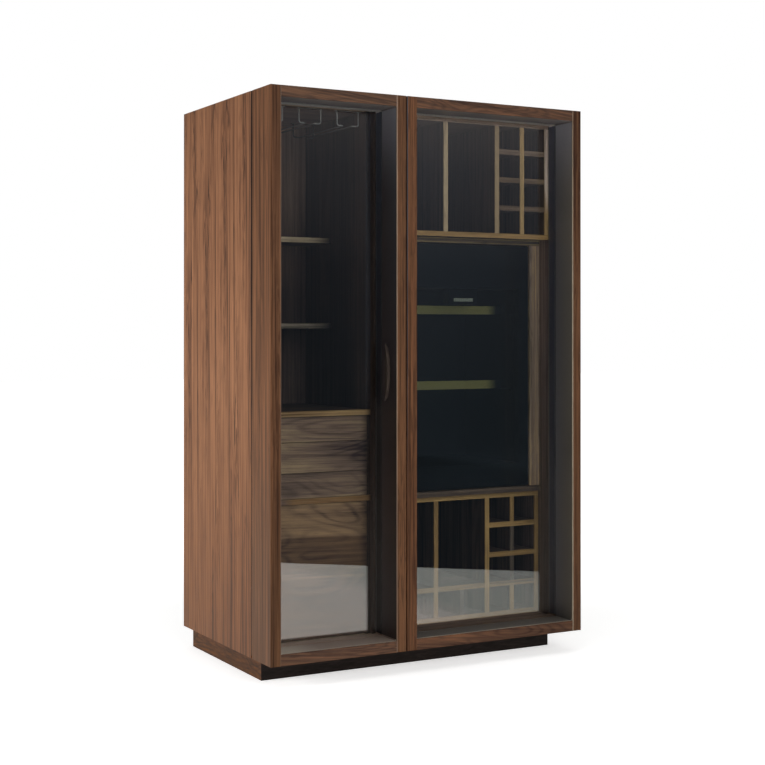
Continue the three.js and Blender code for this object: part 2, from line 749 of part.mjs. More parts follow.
// Pull-out shelf: a tall front bar, two side rails on the ledges and slats between them
function buildCoolerShelf(parent, { name, top }) {
  const left = coolerDoorLeft + coolerWall + coolerShelfClearance;
  const right = coolerDoorRight - coolerWall - coolerShelfClearance;
  const front = carcassFront + coolerShelfSetback;
  const rear = housingRear - coolerWall - coolerShelfRearGap;
  const low = top - shelfBarHeight;
  const railTop = low + shelfRailHeight;
  const barRear = front + shelfBarThickness;
  const pieces = [block(at(left, front, low), at(right, barRear, top))];
  for (const [from, to] of [[left, left + shelfRailWidth], [right - shelfRailWidth, right]]) {
    pieces.push(block(at(from, front + shelfBarThickness / 2, low), at(to, rear, railTop)));
  }
  const slatCount = Math.round((rear - barRear) / shelfSlatPitch);
  const slatPitch = (rear - barRear) / slatCount;
  const bury = shelfRailWidth / 2;
  const slatLow = low + shelfRailHeight / 4;
  for (let slat = 1; slat <= slatCount; slat += 1) {
    const y = barRear + slat * slatPitch - shelfSlatWidth;
    pieces.push(block(at(left + bury, y, slatLow), at(right - bury, y + shelfSlatWidth, railTop)));
  }
  addPiece(parent, name, joined(...pieces), finishes.beech);
}

// A flat ring lying in an upright plane, used for the door frame and its gasket
function uprightRing(outer, inner, y, thickness) {
  const path = ([left, right, low, high]) => [
    new THREE.Vector2(low, left), new THREE.Vector2(high, left),
    new THREE.Vector2(high, right), new THREE.Vector2(low, right),
  ];
  const shape = new THREE.Shape(path(outer));
  shape.holes.push(new THREE.Path(path(inner)));
  const geometry = new THREE.ExtrudeGeometry(shape, { depth: thickness, bevelEnabled: false });
  return geometry.applyMatrix4(turns.y).translate(0, y, 0);
}

// Cooler door: smoked glass over a frame that turns on a pin at each end
function buildCoolerDoor(parent) {
  const outer = [coolerDoorLeft, coolerDoorRight, coolerDoorLow, coolerDoorHigh];
  const inner = [
    coolerDoorLeft + coolerFrameStile, coolerDoorRight - coolerFrameStile, coolerInsideLow, coolerInsideHigh,
  ];
  const ring = uprightRing(outer, inner, coolerFrameFront, coolerFrameThickness);
  const bury = coolerFrameStile;
  const reach = coolerReveal + coolerPinDepth;
  const pins = [coolerDoorLow - reach, coolerDoorHigh - bury]
    .map((z) => rod(coolerPinRadius, at(coolerPinX, coolerPinY, z), reach + bury, 'z'));
  addPiece(parent, 'cooler_door_frame', joined(ring, ...pins), finishes.coolerBlack);
  const glassLow = at(coolerDoorLeft, coolerDoorFront, coolerDoorLow);
  const glassHigh = at(coolerDoorRight, coolerDoorFront + coolerGlassThickness, coolerDoorHigh);
  addBoard(parent, 'cooler_door_glass', finishes.smokedGlass, glassLow, glassHigh, 'z');
  const gasketOuter = [
    coolerDoorLeft + gasketInset, coolerDoorRight - gasketInset,
    coolerDoorLow + gasketInset, coolerDoorHigh - gasketInset,
  ];
  const gasketInner = gasketOuter.map((edge, index) => edge + (index % 2 ? -gasketWidth : gasketWidth));
  const gasket = uprightRing(gasketOuter, gasketInner, coolerFrameRear + seatGap, gasketThickness);
  addPiece(parent, 'cooler_gasket', gasket, finishes.rubber);
}

// A door is drawn from its hinge edge; side is +1 for the left door and -1 for the right one
function buildDoor(name, side, width) {
  const group = addGroup(at(side > 0 ? 0 : cabinetWidth, 0, bodyBottom));
  const mirror = (points) => points.map(([u, y]) => [side * u, y]);
  const spanX = (from, to) => [Math.min(side * from, side * to), Math.max(side * from, side * to)];
  const body = frameFace - linerThickness;

  const stileOutline = [
    [frameChamfer, 0], [frameFace, 0], [frameFace, lipDepth], [body, lipDepth], [body, doorDepth],
    [frameChamfer, doorDepth], [0, doorDepth - frameChamfer], [0, frameChamfer],
  ];
  const freeOutline = stileOutline.map(([u, y]) => [width - u, y]);
  addPiece(group, `${name}_hinge_stile`, prism(mirror(stileOutline), bodyHeight, 'z'), finishes.walnutFront);
  addPiece(group, `${name}_free_stile`, prism(mirror(freeOutline), bodyHeight, 'z'), finishes.walnutFront);

  const lipEnd = frameFace + seatGap;
  const bodyEnd = body + seatGap;
  const lipRear = lipDepth + seatGap;
  const railOutline = [
    [lipEnd, 0], [width - lipEnd, 0], [width - lipEnd, lipRear], [width - bodyEnd, lipRear],
    [width - bodyEnd, doorDepth], [bodyEnd, doorDepth], [bodyEnd, lipRear], [lipEnd, lipRear],
  ];
  const [rebateLeft, rebateRight] = spanX(0, width);
  const railSolid = prism(mirror(railOutline), frameFace, 'z');
  for (const [place, low, rebateLow] of [['bottom', 0, body], ['top', bodyHeight - frameFace, -cutOverrun]]) {
    const rebateHigh = place === 'bottom' ? frameFace + cutOverrun : linerThickness;
    const rebateRear = doorDepth + cutOverrun;
    const rebate = block(at(rebateLeft, lipDepth, rebateLow), at(rebateRight, rebateRear, rebateHigh));
    addPiece(group, `${name}_${place}_rail`, cut(railSolid, rebate), finishes.walnutFront, at(0, 0, low));
  }

  const [linerLeft, linerRight] = spanX(bodyEnd, width - bodyEnd);
  const [openLeft, openRight] = spanX(frameFace, width - frameFace);
  const liner = uprightRing(
    [linerLeft, linerRight, bodyEnd, bodyHeight - bodyEnd],
    [openLeft, openRight, frameFace, bodyHeight - frameFace],
    lipRear,
    doorDepth - lipRear,
  );
  const paneRear = glassRecess + doorGlassThickness;
  const paneTop = bodyHeight - frameFace + glassGrooveDepth;
  const paneLow = at(openLeft - glassGrooveDepth, glassRecess, frameFace - glassGrooveDepth);
  const paneHigh = at(openRight + glassGrooveDepth, paneRear, paneTop);
  const slack = at(seatGap, seatGap, seatGap);
  const groove = block(paneLow.clone().sub(slack), paneHigh.clone().add(slack));
  addPiece(group, `${name}_liner`, cut(liner, groove), finishes.bronze);
  addPiece(group, `${name}_glass`, block(paneLow, paneHigh), finishes.clearGlass);
  buildPull(group, `${name}_pull`, side, width);
  buildHinge(group, name, side);
}

// Half-moon pull: the arc faces forward and fingers hook behind the scooped straight edge
function buildPull(group, name, side, width) {
  const chord = pullHeight / 2;
  const radius = (chord * chord + pullSagitta * pullSagitta) / (2 * pullSagitta);
  const reach = Math.asin(chord / radius) - pullBevel / radius;
  const outline = [];
  for (let step = 0; step <= pullArcSteps; step += 1) {
    const angle = reach * (2 * (step / pullArcSteps) - 1);
    const bulge = radius * Math.cos(angle) - (radius - pullSagitta) - pullBevel;
    outline.push(new THREE.Vector2(-bulge, radius * Math.sin(angle)));
  }
  const moon = new THREE.ExtrudeGeometry(new THREE.Shape(outline), {
    depth: pullThickness - 2 * pullBevel, bevelThickness: pullBevel, bevelSize: pullBevel, bevelSegments: 2,
  });
  moon.applyMatrix4(turns.x).translate(pullBevel - (side > 0 ? pullThickness : 0), 0, 0);
  const scoopCentre = -side * (pullThickness - pullLipThickness - pullScoopRadius);
  const scoopLow = at(scoopCentre, pullScoopRadius / 4, -chord);
  const scoop = rod(pullScoopRadius, scoopLow, pullHeight, 'z', 2 * roundSides);
  const face = side * (width - frameFace - seatGap);
  const place = at(face, glassRecess - pullGlassClearance, pullCentreHeight);
  addPiece(group, name, cut(moon, scoop), finishes.walnutFront, place);
}

// Continuous hinge: alternate knuckles belong to the carcass leaf, with the pin, and to the door leaf
function buildHinge(group, name, side) {
  const axisX = side * hingeAxisInset;
  const axisY = doorDepth + hingeGap / 2;
  const bottom = hingeEndMargin;
  const length = bodyHeight - 2 * hingeEndMargin;
  const pitch = length / knuckleCount;
  const plateStart = hingeAxisInset + knuckleRadius + leafKnuckleClearance;
  const leaves = [
    { suffix: 'carcass_leaf', plateLow: carcassFront - seatGap - leafThickness, first: 0, withPin: true },
    { suffix: 'door_leaf', plateLow: doorDepth + seatGap, first: 1, withPin: false },
  ];
  for (const { suffix, plateLow, first, withPin } of leaves) {
    const [left, right] = [side * plateStart, side * (plateStart + leafWidth)].sort((a, b) => a - b);
    const pieces = [block(at(left, plateLow, bottom), at(right, plateLow + leafThickness, bottom + length))];
    for (let knuckle = first; knuckle < knuckleCount; knuckle += 2) {
      const low = bottom + knuckle * pitch + knuckleGap / 2;
      const high = low + pitch - knuckleGap;
      pieces.push(rod(knuckleRadius, at(axisX, axisY, low), high - low, 'z', knuckleSides));
      const [webLeft, webRight] = [axisX, side * (plateStart + leafThickness)].sort((a, b) => a - b);
      pieces.push(block(at(webLeft, plateLow, low), at(webRight, plateLow + leafThickness, high)));
    }
    const pinRadius = withPin ? hingePinRadius : hingeBoreRadius;
    const pin = rod(pinRadius, at(axisX, axisY, bottom), length, 'z', knuckleSides);
    const leaf = withPin ? joined(...pieces, pin) : cut(joined(...pieces), pin);
    addPiece(group, `${name}_hinge_${suffix}`, leaf, finishes.hinge);
  }
}

buildPlinth(addGroup());
buildCarcass(addGroup());
const leftBay = addGroup();
buildLeftBay(leftBay);
buildStemRack(leftBay);
buildUpperRack(addGroup());
buildLowerRack(addGroup());
const coolerBay = addGroup();
buildSurround(coolerBay);
buildHousing(coolerBay);
coolerShelves.forEach((shelf) => buildCoolerShelf(coolerBay, shelf));
buildCoolerDoor(coolerBay);
buildDoor('left_door', 1, doorSplit - doorGap / 2);
buildDoor('right_door', -1, cabinetWidth - doorSplit - doorGap / 2);

export default cabinet;
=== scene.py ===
import math

import bpy
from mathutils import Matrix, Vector


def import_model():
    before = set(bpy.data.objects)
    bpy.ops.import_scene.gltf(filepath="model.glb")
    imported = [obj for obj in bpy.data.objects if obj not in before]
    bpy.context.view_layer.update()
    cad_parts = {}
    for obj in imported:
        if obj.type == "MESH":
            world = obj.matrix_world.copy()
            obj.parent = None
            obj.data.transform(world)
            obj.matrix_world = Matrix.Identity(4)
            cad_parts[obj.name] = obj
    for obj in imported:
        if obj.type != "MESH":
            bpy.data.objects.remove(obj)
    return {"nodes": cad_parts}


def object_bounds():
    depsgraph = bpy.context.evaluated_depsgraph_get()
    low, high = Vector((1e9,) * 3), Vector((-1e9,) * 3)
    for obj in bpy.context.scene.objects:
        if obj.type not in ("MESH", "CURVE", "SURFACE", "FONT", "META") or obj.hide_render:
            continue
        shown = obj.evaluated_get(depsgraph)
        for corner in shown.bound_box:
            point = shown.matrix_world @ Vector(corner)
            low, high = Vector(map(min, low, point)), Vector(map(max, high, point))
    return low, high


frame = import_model()
nodes = frame["nodes"]
cadBox = [list(corner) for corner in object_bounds()]
print("frame loaded:", len(nodes), "pieces")


# Shader helpers


def linear(value):
    value /= 255
    return value / 12.92 if value <= 0.04045 else ((value + 0.055) / 1.055) ** 2.4


def tone(red, green, blue):
    # a colour as a screen shows it, turned into the linear one that a shader wants
    return (linear(red), linear(green), linear(blue), 1.0)


def darker(colour, share):
    return tuple(part * share for part in colour[:3]) + (1.0,)


class Wire:
    # one socket of a shader, with Python's own operators for its maths
    def __init__(self, finish, socket):
        self.finish = finish
        self.socket = socket

    def maths(self, operation, first, second=None):
        inputs = {0: first} if second is None else {0: first, 1: second}
        return self.finish.make("ShaderNodeMath", {"operation": operation}, inputs)

    def __add__(self, other):
        return self.maths("ADD", self, other)

    def __radd__(self, other):
        return self.maths("ADD", other, self)

    def __sub__(self, other):
        return self.maths("SUBTRACT", self, other)

    def __rsub__(self, other):
        return self.maths("SUBTRACT", other, self)

    def __mul__(self, other):
        return self.maths("MULTIPLY", self, other)

    def __rmul__(self, other):
        return self.maths("MULTIPLY", other, self)

    def __truediv__(self, other):
        return self.maths("DIVIDE", self, other)

    def __rtruediv__(self, other):
        return self.maths("DIVIDE", other, self)

    def __pow__(self, other):
        return self.maths("POWER", self, other)

    def __lt__(self, other):
        return self.maths("LESS_THAN", self, other)

    def __gt__(self, other):
        return self.maths("GREATER_THAN", self, other)

    def __abs__(self):
        return self.maths("ABSOLUTE", self)

    def clamped(self):
        return self.maths("MINIMUM", self.maths("MAXIMUM", self, 0.0), 1.0)

    def sine(self):
        return self.maths("SINE", self)

    def floor(self):
        return self.maths("FLOOR", self)

    def either(self, other):
        return self.maths("MAXIMUM", self, other)


def rise(value, start, run):
    # grows from 0 to 1 while the value climbs from start by run
    return ((value - start) / run).clamped()


def fall(value, start, run):
    # grows from 0 to 1 while the value drops from start by run
    return ((start - value) / run).clamped()


def over(noise, level, gain):
    # a mask of the places where a noise is over its level
    return ((noise - level) * gain).clamped()


class Finish:
    # a material, or the world's shader, and the one way its nodes are made
    def __init__(self, name, world=None):
        self.material = world or bpy.data.materials.new(name)
        self.material.use_nodes = True
        self.tree = self.material.node_tree
        self.tree.nodes.clear()
        kind = "ShaderNodeOutputWorld" if world else "ShaderNodeOutputMaterial"
        self.output = self.tree.nodes.new(kind)

    def make(self, kind, settings=None, inputs=None, out=0):
        node = self.tree.nodes.new(kind)
        for key, value in (settings or {}).items():
            if key == "stops":
                ramp = node.color_ramp
                while len(ramp.elements) < len(value):
                    ramp.elements.new(0.5)
                for element, (position, colour) in zip(ramp.elements, value):
                    element.position = position
                    element.color = colour
            else:
                setattr(node, key, value)
        for key, value in (inputs or {}).items():
            if isinstance(value, Wire):
                self.tree.links.new(value.socket, node.inputs[key])
            elif value is not None:
                node.inputs[key].default_value = value
        return Wire(self, node.outputs[out])

    def place(self):
        return self.make("ShaderNodeTexCoord", out="Object")

    def axes(self, place):
        split = self.make("ShaderNodeSeparateXYZ", None, {0: place}).socket.node
        return [Wire(self, split.outputs[i]) for i in range(3)]

    def stretched(self, place, scale, shift=(0.0, 0.0, 0.0)):
        sockets = {"Vector": place, "Scale": scale, "Location": shift}
        return self.make("ShaderNodeMapping", None, sockets)

    def noise(self, vector, scale=1.0, detail=2.0, roughness=0.5, distortion=0.0):
        sockets = {
            "Vector": vector, "Scale": scale, "Detail": detail,
            "Roughness": roughness, "Distortion": distortion,
        }
        return self.make("ShaderNodeTexNoise", None, sockets, "Fac")

    def ramp(self, factor, stops):
        return self.make("ShaderNodeValToRGB", {"stops": stops}, {"Fac": factor}, "Color")

    def blend(self, factor, first, second, kind="MIX"):
        settings = {"data_type": "RGBA", "blend_type": kind}
        return self.make("ShaderNodeMix", settings, {0: factor, 6: first, 7: second}, 2)

    def bump(self, height, strength, distance):
        sockets = {"Height": height, "Strength": strength, "Distance": distance}
        return self.make("ShaderNodeBump", None, sockets, "Normal")

    def ends(self, shader):
        self.tree.links.new(shader.socket, self.output.inputs["Surface"])
        return self.material

    def surface(self, **sockets):
        keys = {key.replace("_", " "): value for key, value in sockets.items()}
        return self.ends(self.make("ShaderNodeBsdfPrincipled", None, keys))


def dress(names, material):
    for name in names:
        piece = nodes[name]
        if not piece.material_slots:
            piece.data.materials.append(material)
        piece.material_slots[0].link = "OBJECT"
        piece.material_slots[0].material = material


# Places that the finishes refer to, in metres, measured on the pieces


def reach(name, axis):
    # the lowest and the highest place of a piece along one axis
    piece = nodes[name]
    places = [getattr(piece.matrix_world @ corner.co, axis) for corner in piece.data.vertices]
    return min(places), max(places)


def thickness(name, axis):
    lowest, highest = reach(name, axis)
    return highest - lowest


plan = {
    "halfWidth": cadBox[1][0], "front": cadBox[0][1], "top": cadBox[1][2],
    "carcassFront": reach("left_side", "y")[0], "bottom": reach("left_side", "z")[0],
    "board": thickness("left_side", "x"), "face": thickness("left_door_hinge_stile", "x"),
    "glassFront": reach("left_door_glass", "y")[0], "glassRear": reach("left_door_glass", "y")[1],
    "linerRear": reach("left_door_liner", "y")[1], "bayRight": reach("partition", "x")[0] + 0.0155,
    # a zone reaches this far past a face, and this deep into a front edge
    "skin": 0.0008, "edgeDepth": 0.003,
}
doors = ("left_door", "right_door")


# Walnut: bands, threads and pores along the grain, and growth rings as contours of a smooth field

woodTones = {
    "side": (tone(54, 32, 22), tone(119, 80, 55), tone(150, 105, 74)),
    "door": (tone(52, 32, 22), tone(96, 65, 44), tone(124, 86, 60)),
    "rail": (tone(52, 35, 29), tone(86, 61, 48), tone(132, 90, 64)),
    "drawer": (tone(58, 43, 41), tone(124, 100, 86), tone(176, 148, 114)),
    "deep": (tone(62, 46, 40), tone(133, 104, 81), tone(182, 145, 106)),
    "inside": (tone(36, 27, 25), tone(62, 48, 42), tone(84, 66, 56)),
    # lining is also the painted shade at the dim ends of drawers and boards and on the right lining's
    # front edge
    "lining": (tone(20, 14, 14), tone(32, 24, 23), tone(46, 35, 32)),
    "plinth": (tone(34, 18, 5), tone(71, 40, 13), tone(108, 62, 20)),
    "edgeShade": (tone(26, 25, 29), tone(44, 43, 50), tone(58, 57, 64)),
    # litSill is painted light on the front strips of the bays' ceiling and the left bay's floor
    "litSill": (tone(140, 118, 100), tone(228, 196, 172), tone(246, 218, 194)),
    "shade": (tone(20, 16, 16), tone(36, 31, 30), tone(52, 45, 42)),
    "trim": (tone(94, 76, 66), tone(144, 120, 102), tone(186, 152, 110)),
    "trimDim": (tone(56, 46, 42), tone(88, 72, 62), tone(116, 96, 78)),
    "trimHighlight": (tone(110, 88, 56), tone(164, 138, 88), tone(186, 158, 104)),
    "lipping": (tone(102, 76, 48), tone(163, 129, 88), tone(188, 155, 108)),
    "lippingDeep": (tone(60, 40, 28), tone(136, 100, 66), tone(160, 122, 82)),
    "shelfEdge": (tone(112, 95, 80), tone(180, 158, 130), tone(218, 194, 158)),
    "shelfEdgeDim": (tone(92, 82, 72), tone(152, 136, 120), tone(196, 178, 156)),
    "rackGrey": (tone(142, 118, 92), tone(184, 158, 128), tone(206, 180, 140)),
    "rackTan": (tone(140, 108, 68), tone(180, 146, 100), tone(198, 164, 112)),
    "rackBrown": (tone(112, 88, 68), tone(158, 133, 104), tone(178, 150, 114)),
    "rackDim": (tone(86, 68, 58), tone(122, 100, 84), tone(142, 118, 98)),
    "lowTan": (tone(92, 68, 40), tone(143, 111, 70), tone(164, 129, 82)),
    "lowHigh": (tone(104, 78, 46), tone(160, 126, 80), tone(184, 146, 92)),
    "lowDim": (tone(56, 46, 42), tone(84, 72, 64), tone(104, 90, 78)),
    "rackMid": (tone(92, 72, 56), tone(134, 109, 84), tone(154, 127, 98)),
    "rackShade": (tone(80, 62, 50), tone(112, 91, 74), tone(130, 107, 84)),
    "rackFoot": (tone(110, 82, 47), tone(159, 123, 77), tone(179, 140, 89)),
    "rackPale": (tone(146, 120, 106), tone(240, 212, 196), tone(252, 228, 204)),
    "rackHead": (tone(125, 104, 91), tone(166, 140, 125), tone(190, 163, 141)),
    "pull": (tone(36, 30, 28), tone(62, 54, 50), tone(86, 76, 68)),
}
# further tones, each a base one times red, green and blue factors; sideLow, the door, rail and inside ones
# (insideCell partly) are painted light and shade
dimmedTones = {
    "sideLow": ("side", (0.66, 0.59, 0.48)),
    "doorLow": ("door", (0.72, 0.7, 0.64)),
    "doorHigh": ("door", (0.84, 0.78, 0.73)),
    "left_door_hinge_wood": ("door", (1.12, 1.07, 1.0)),
    "left_door_free_wood": ("door", (1.0, 0.98, 0.92)),
    "right_door_free_wood": ("door", (1.1, 1.03, 0.97)),
    "right_door_hinge_wood": ("door", (0.84, 0.83, 0.83)),
    "left_door_top_rail": ("rail", (0.86, 0.95, 1.0)),
    "left_door_bottom_rail": ("rail", (0.96, 1.03, 1.08)),
    "right_door_top_rail": ("rail", (0.93, 0.98, 1.0)),
    "right_door_bottom_rail": ("rail", (1.24, 1.2, 1.08)),
    "insideWarm": ("inside", (2.7, 2.8, 3.0)),
    "insideWall": ("inside", (1.9, 1.9, 2.2)),
    "insideBack": ("inside", (3.5, 3.6, 3.5)),
    "insideTop": ("inside", (2.5, 2.3, 2.4)),
    "insideCool": ("inside", (2.9, 3.2, 3.9)),
    "insideCell": ("inside", (1.5, 1.45, 1.5)),
    "deepDark": ("deep", (0.48, 0.44, 0.45)),
    "liningDim": ("lining", (1.6, 1.6, 1.7)),
}


def dimmed(colour, factors):
    return tuple(part * factor for part, factor in zip(colour, factors)) + (1.0,)


for name, (base, factors) in dimmedTones.items():
    woodTones[name] = tuple(dimmed(colour, factors) for colour in woodTones[base])

# contrast, cloud, figure, line and fleck are strengths, band and thread are repeats per metre
woodLooks = {
    "side": {
        "contrast": 1.3, "cloud": 0.7, "rings": 17.0, "figure": 0.2, "across": 13.0, "length": 1.1,
        "slant": 0.0, "line": 0.5, "band": 84.0, "thread": 150.0, "fleck": 0.95, "sheen": 0.5,
    },
    "door": {
        "contrast": 1.45, "cloud": 0.6, "rings": 9.0, "figure": 0.2, "across": 30.0, "length": 0.6,
        "slant": 0.0, "line": 0.55, "band": 72.0, "thread": 160.0, "fleck": 0.5, "sheen": 0.5,
    },
    "rail": {
        "contrast": 1.1, "cloud": 0.9, "rings": 26.0, "figure": 0.26, "across": 12.0, "length": 1.6,
        "slant": 0.1, "line": 0.4, "band": 60.0, "thread": 160.0, "fleck": 0.4, "sheen": 0.48,
    },
    "drawer": {
        "contrast": 0.85, "cloud": 2.8, "rings": 15.0, "figure": 0.24, "across": 8.0, "length": 1.9,
        "slant": 0.03, "line": 0.25, "band": 45.0, "thread": 130.0, "fleck": 0.3, "sheen": 0.55,
    },
    "deep": {
        "contrast": 0.7, "cloud": 2.2, "rings": 17.0, "figure": 0.32, "across": 5.0, "length": 1.8,
        "slant": 0.03, "line": 0.25, "band": 45.0, "thread": 130.0, "fleck": 0.3, "sheen": 0.55,
    },
    "inside": {
        "contrast": 0.65, "cloud": 1.7, "rings": 6.0, "figure": 0.16, "across": 7.0, "length": 0.9,
        "slant": 0.0, "line": 0.15, "band": 42.0, "thread": 105.0, "fleck": 0.0, "sheen": 0.55,
    },
    "plinth": {
        "contrast": 1.0, "cloud": 0.8, "rings": 20.0, "figure": 0.35, "across": 10.0, "length": 1.6,
        "slant": 0.16, "line": 0.4, "band": 50.0, "thread": 120.0, "fleck": 0.4, "sheen": 0.55,
    },
    "trim": {
        "contrast": 1.4, "cloud": 1.2, "rings": 10.0, "figure": 0.5, "across": 22.0, "length": 2.4,
        "slant": 0.0, "line": 0.4, "band": 70.0, "thread": 160.0, "fleck": 0.0, "sheen": 0.55,
    },
    "edge": {
        "contrast": 1.1, "cloud": 1.4, "rings": 5.0, "figure": 0.25, "across": 20.0, "length": 2.0,
        "slant": 0.0, "line": 0.25, "band": 40.0, "thread": 120.0, "fleck": 0.0, "sheen": 0.55,
    },
}
woodLooks["top"] = dict(woodLooks["side"], fleck=0.45, figure=0.3, sheen=0.55)
woodLooks["right"] = dict(woodLooks["side"], fleck=0.6, sheen=0.55)
# what all the woods share: repeats per metre along and across the fibres, detail, roughness and warp
grains = {
    "cloud": (0.8, 5.0, 2.0), "fibre": (9.0, 420.0, 3.0, 0.6), "pores": (24.0, 900.0, 1.0),
    "flames": (1.7, 15.0, 1.0, 0.5, 0.4), "jags": (11.0, 125.0, 2.0, 0.5, 0.6),
}
# the same without the scale across, which comes with the look
lookGrains = {
    "band": (0.9, 4.0, 0.6, 0.3), "thread": (2.0, 3.0, 0.6),
    "field": (1.0, 1.0, 0.4, 0.35), "patch": (0.8, 1.0),
}
# the level and the gain of each mask
masks = {
    "rings": (0.46, 7.0), "lines": (0.58, 9.0), "pores": (0.62, 9.0),
    "jags": (0.5, 10.0), "flames": (0.47, 7.0),
}
woodMix = {
    "band": 1.4, "thread": 1.3, "fibre": 0.6, "base": 0.58,
    "threadSway": 3.0, "bandSway": 5.0, "ringSharp": 2.5, "ringBase": 0.2, "patchWidth": 0.55,
    "knotReach": 1.2, "pore": 0.35, "poreTone": (0.02, 0.013, 0.009, 1.0),
    "sheenSwing": 0.22, "specular": 0.14, "bump": 0.16, "bumpDepth": 0.0004,
    "fibreRelief": 0.6, "threadRelief": 0.5, "poreRelief": 0.8, "seedSteps": (3.1, 1.7, 2.3),
}


def fibreAxes(x, y, z, grain, crosswise):
    # the axis along the fibres and the two across them
    along, first, second = {"x": (x, y, z), "y": (y, z, x), "z": (z, x, y)}[grain]
    if crosswise:
        # one piece of several boards, where the chosen ones have their grain along x
        chosenBoards = crosswise(x, y, z)
        usual = along
        along = usual + (x - usual) * chosenBoards
        if grain == "z":
            first = x + (usual - x) * chosenBoards
        else:
            second = x + (usual - x) * chosenBoards
    return along, first, second


def veneerLeaves(along, second, leaves):
    # leaves of veneer side by side, each slid along its neighbour, with a pale seam
    turned = (second - leaves["start"]) / leaves["width"]
    index = turned.floor()
    part = turned - index
    second = part * leaves["width"] + index * leaves["drift"]
    along = along + index * leaves["slide"]
    return along, second, (part < leaves["seam"]) * leaves["seamStrength"]


def knotSwirl(x, z, knot):
    across = (x - knot["x"]) / knot["wide"]
    upward = (z - knot["z"]) / knot["high"] + across * knot["lean"]
    return 1.0 / (across * across + upward * upward + 1.0)


def walnut(name, look, grain, seed=0.0, tones=None, zones=(), leaves=None, crosswise=None, knot=None):
    # grain names the axis of the fibres; each zone is a test on x, y and z with the tones it takes
    settings = woodLooks[look]
    finish = Finish(name)
    x, y, z = finish.axes(finish.place())
    along, first, second = fibreAxes(x, y, z, grain, crosswise)
    seam = None
    if leaves:
        along, second, seam = veneerLeaves(along, second, leaves)
    second = second + along * settings["slant"]
    grainPlace = finish.make("ShaderNodeCombineXYZ", None, {0: along, 1: first, 2: second})

    def grainNoise(length, across, detail=2.0, roughness=0.5, warp=0.0):
        shift = tuple(seed * step for step in woodMix["seedSteps"])
        stretched = finish.stretched(grainPlace, (length, across, across), shift)
        return finish.noise(stretched, 1.0, detail, roughness, warp)

    def lookNoise(key, across, stretch=1.0):
        length, *rest = lookGrains[key]
        return grainNoise(length * stretch, across, *rest)

    cloud = grainNoise(*grains["cloud"])
    fibre = grainNoise(*grains["fibre"])
    band = lookNoise("band", settings["band"])
    thread = lookNoise("thread", settings["thread"])
    field = lookNoise("field", settings["across"], settings["length"])
    patch = lookNoise("patch", settings["across"] * woodMix["patchWidth"], settings["length"])
    ringZone = over(patch, *masks["rings"])
    if knot:
        # the growth lines close round one place of the board
        swirl = knotSwirl(x, z, knot)
        field = field + swirl * knot["rise"]
        ringZone = ringZone.either((swirl * woodMix["knotReach"]).clamped())
    sway = (thread - 0.5) * woodMix["threadSway"] + (band - 0.5) * woodMix["bandSway"]
    wave = (field * (settings["rings"] * 2 * math.pi) + sway).sine()
    rings = (wave * 0.5 + 0.5) ** woodMix["ringSharp"]
    figure = rings * (ringZone * (1 - woodMix["ringBase"]) + woodMix["ringBase"]) * settings["figure"]
    value = (band - 0.5) * woodMix["band"] + (thread - 0.5) * woodMix["thread"]
    value = (value + (fibre - 0.5) * woodMix["fibre"]) * settings["contrast"]
    value = (value + (cloud - 0.5) * settings["cloud"] + woodMix["base"] - figure).clamped()

    def palette(names):
        dark, middle, light = names
        return finish.ramp(value, [(0.0, dark), (0.5, middle), (1.0, light)])

    chosen = woodTones[tones or look]
    dark, _, light = chosen
    colour = palette(chosen)
    if seam:
        colour = finish.blend(seam, colour, light)
    colour = finish.blend(over(thread, *masks["lines"]) * settings["line"], colour, dark)
    # here and there the growth lines close up into short dark flames
    jags = over(grainNoise(*grains["jags"]), *masks["jags"])
    flames = over(grainNoise(*grains["flames"]), *masks["flames"])
    colour = finish.blend(jags * flames * settings["fleck"], colour, dark)
    for test, zoneTones in zones:
        colour = finish.blend(test(x, y, z), colour, palette(woodTones[zoneTones]))
    pores = over(grainNoise(*grains["pores"]), *masks["pores"])
    colour = finish.blend(pores * woodMix["pore"], colour, woodMix["poreTone"])
    sheen = settings["sheen"] + (fibre - 0.5) * woodMix["sheenSwing"]
    relief = fibre * woodMix["fibreRelief"] + thread * woodMix["threadRelief"]
    height = relief - pores * woodMix["poreRelief"]
    return finish.surface(
        Base_Color=colour, Roughness=sheen.clamped(), Specular_IOR_Level=woodMix["specular"],
        Normal=finish.bump(height, woodMix["bump"], woodMix["bumpDepth"]),
    )


def before(plane):
    return lambda x, y, z: y < plane


# Carcass: painted light and shade; each pair is a height and the run over which it grows from there

carcassShades = {
    "low": (1.08, 0.85), "high": (0.45, 0.8), "highBase": 0.3,
    "edge": (0.7, 0.7), "edgeStrength": 0.8,
    "ceilingSill": plan["carcassFront"] + 0.0445, "floorSill": plan["carcassFront"] + 0.0545,
    "litBackHigh": (1.4, 0.35), "backHighStrength": 0.9, "litBackLow": (1.25, 0.2), "backLowStrength": 0.85,
    "lining": (0.85, 0.8), "liningFoot": 0.87, "litLiningLow": (1.2, 0.2), "liningLowStrength": 0.4,
    "liningEdgeShadow": (0.8, 0.3), "liningFront": reach("right_lining", "y")[0] + 0.0002,
}
veneer = {
    "start": 0.3225, "width": 0.19, "drift": 0.013, "slide": 0.31, "seam": 0.016, "seamStrength": 0.6,
}
innerReach = plan["halfWidth"] - plan["board"] + plan["skin"]


# painted shade: the sides darken towards the floor
def shadedFoot(x, y, z):
    return fall(z, *carcassShades["low"])


def insideFace(x, y, z):
    return abs(x) < innerReach


# painted light: the right side's inner face is painted a cool, paler tone, more so upwards
def litInsideHigh(x, y, z):
    base = carcassShades["highBase"]
    return (x < innerReach) * (rise(z, *carcassShades["high"]) * (1 - base) + base)


# painted shade along the front edge of the sides, growing upwards
def carcassEdgeShadow(x, y, z):
    onEdge = y < plan["carcassFront"] + plan["edgeDepth"]
    return onEdge * rise(z, *carcassShades["edge"]) * carcassShades["edgeStrength"]


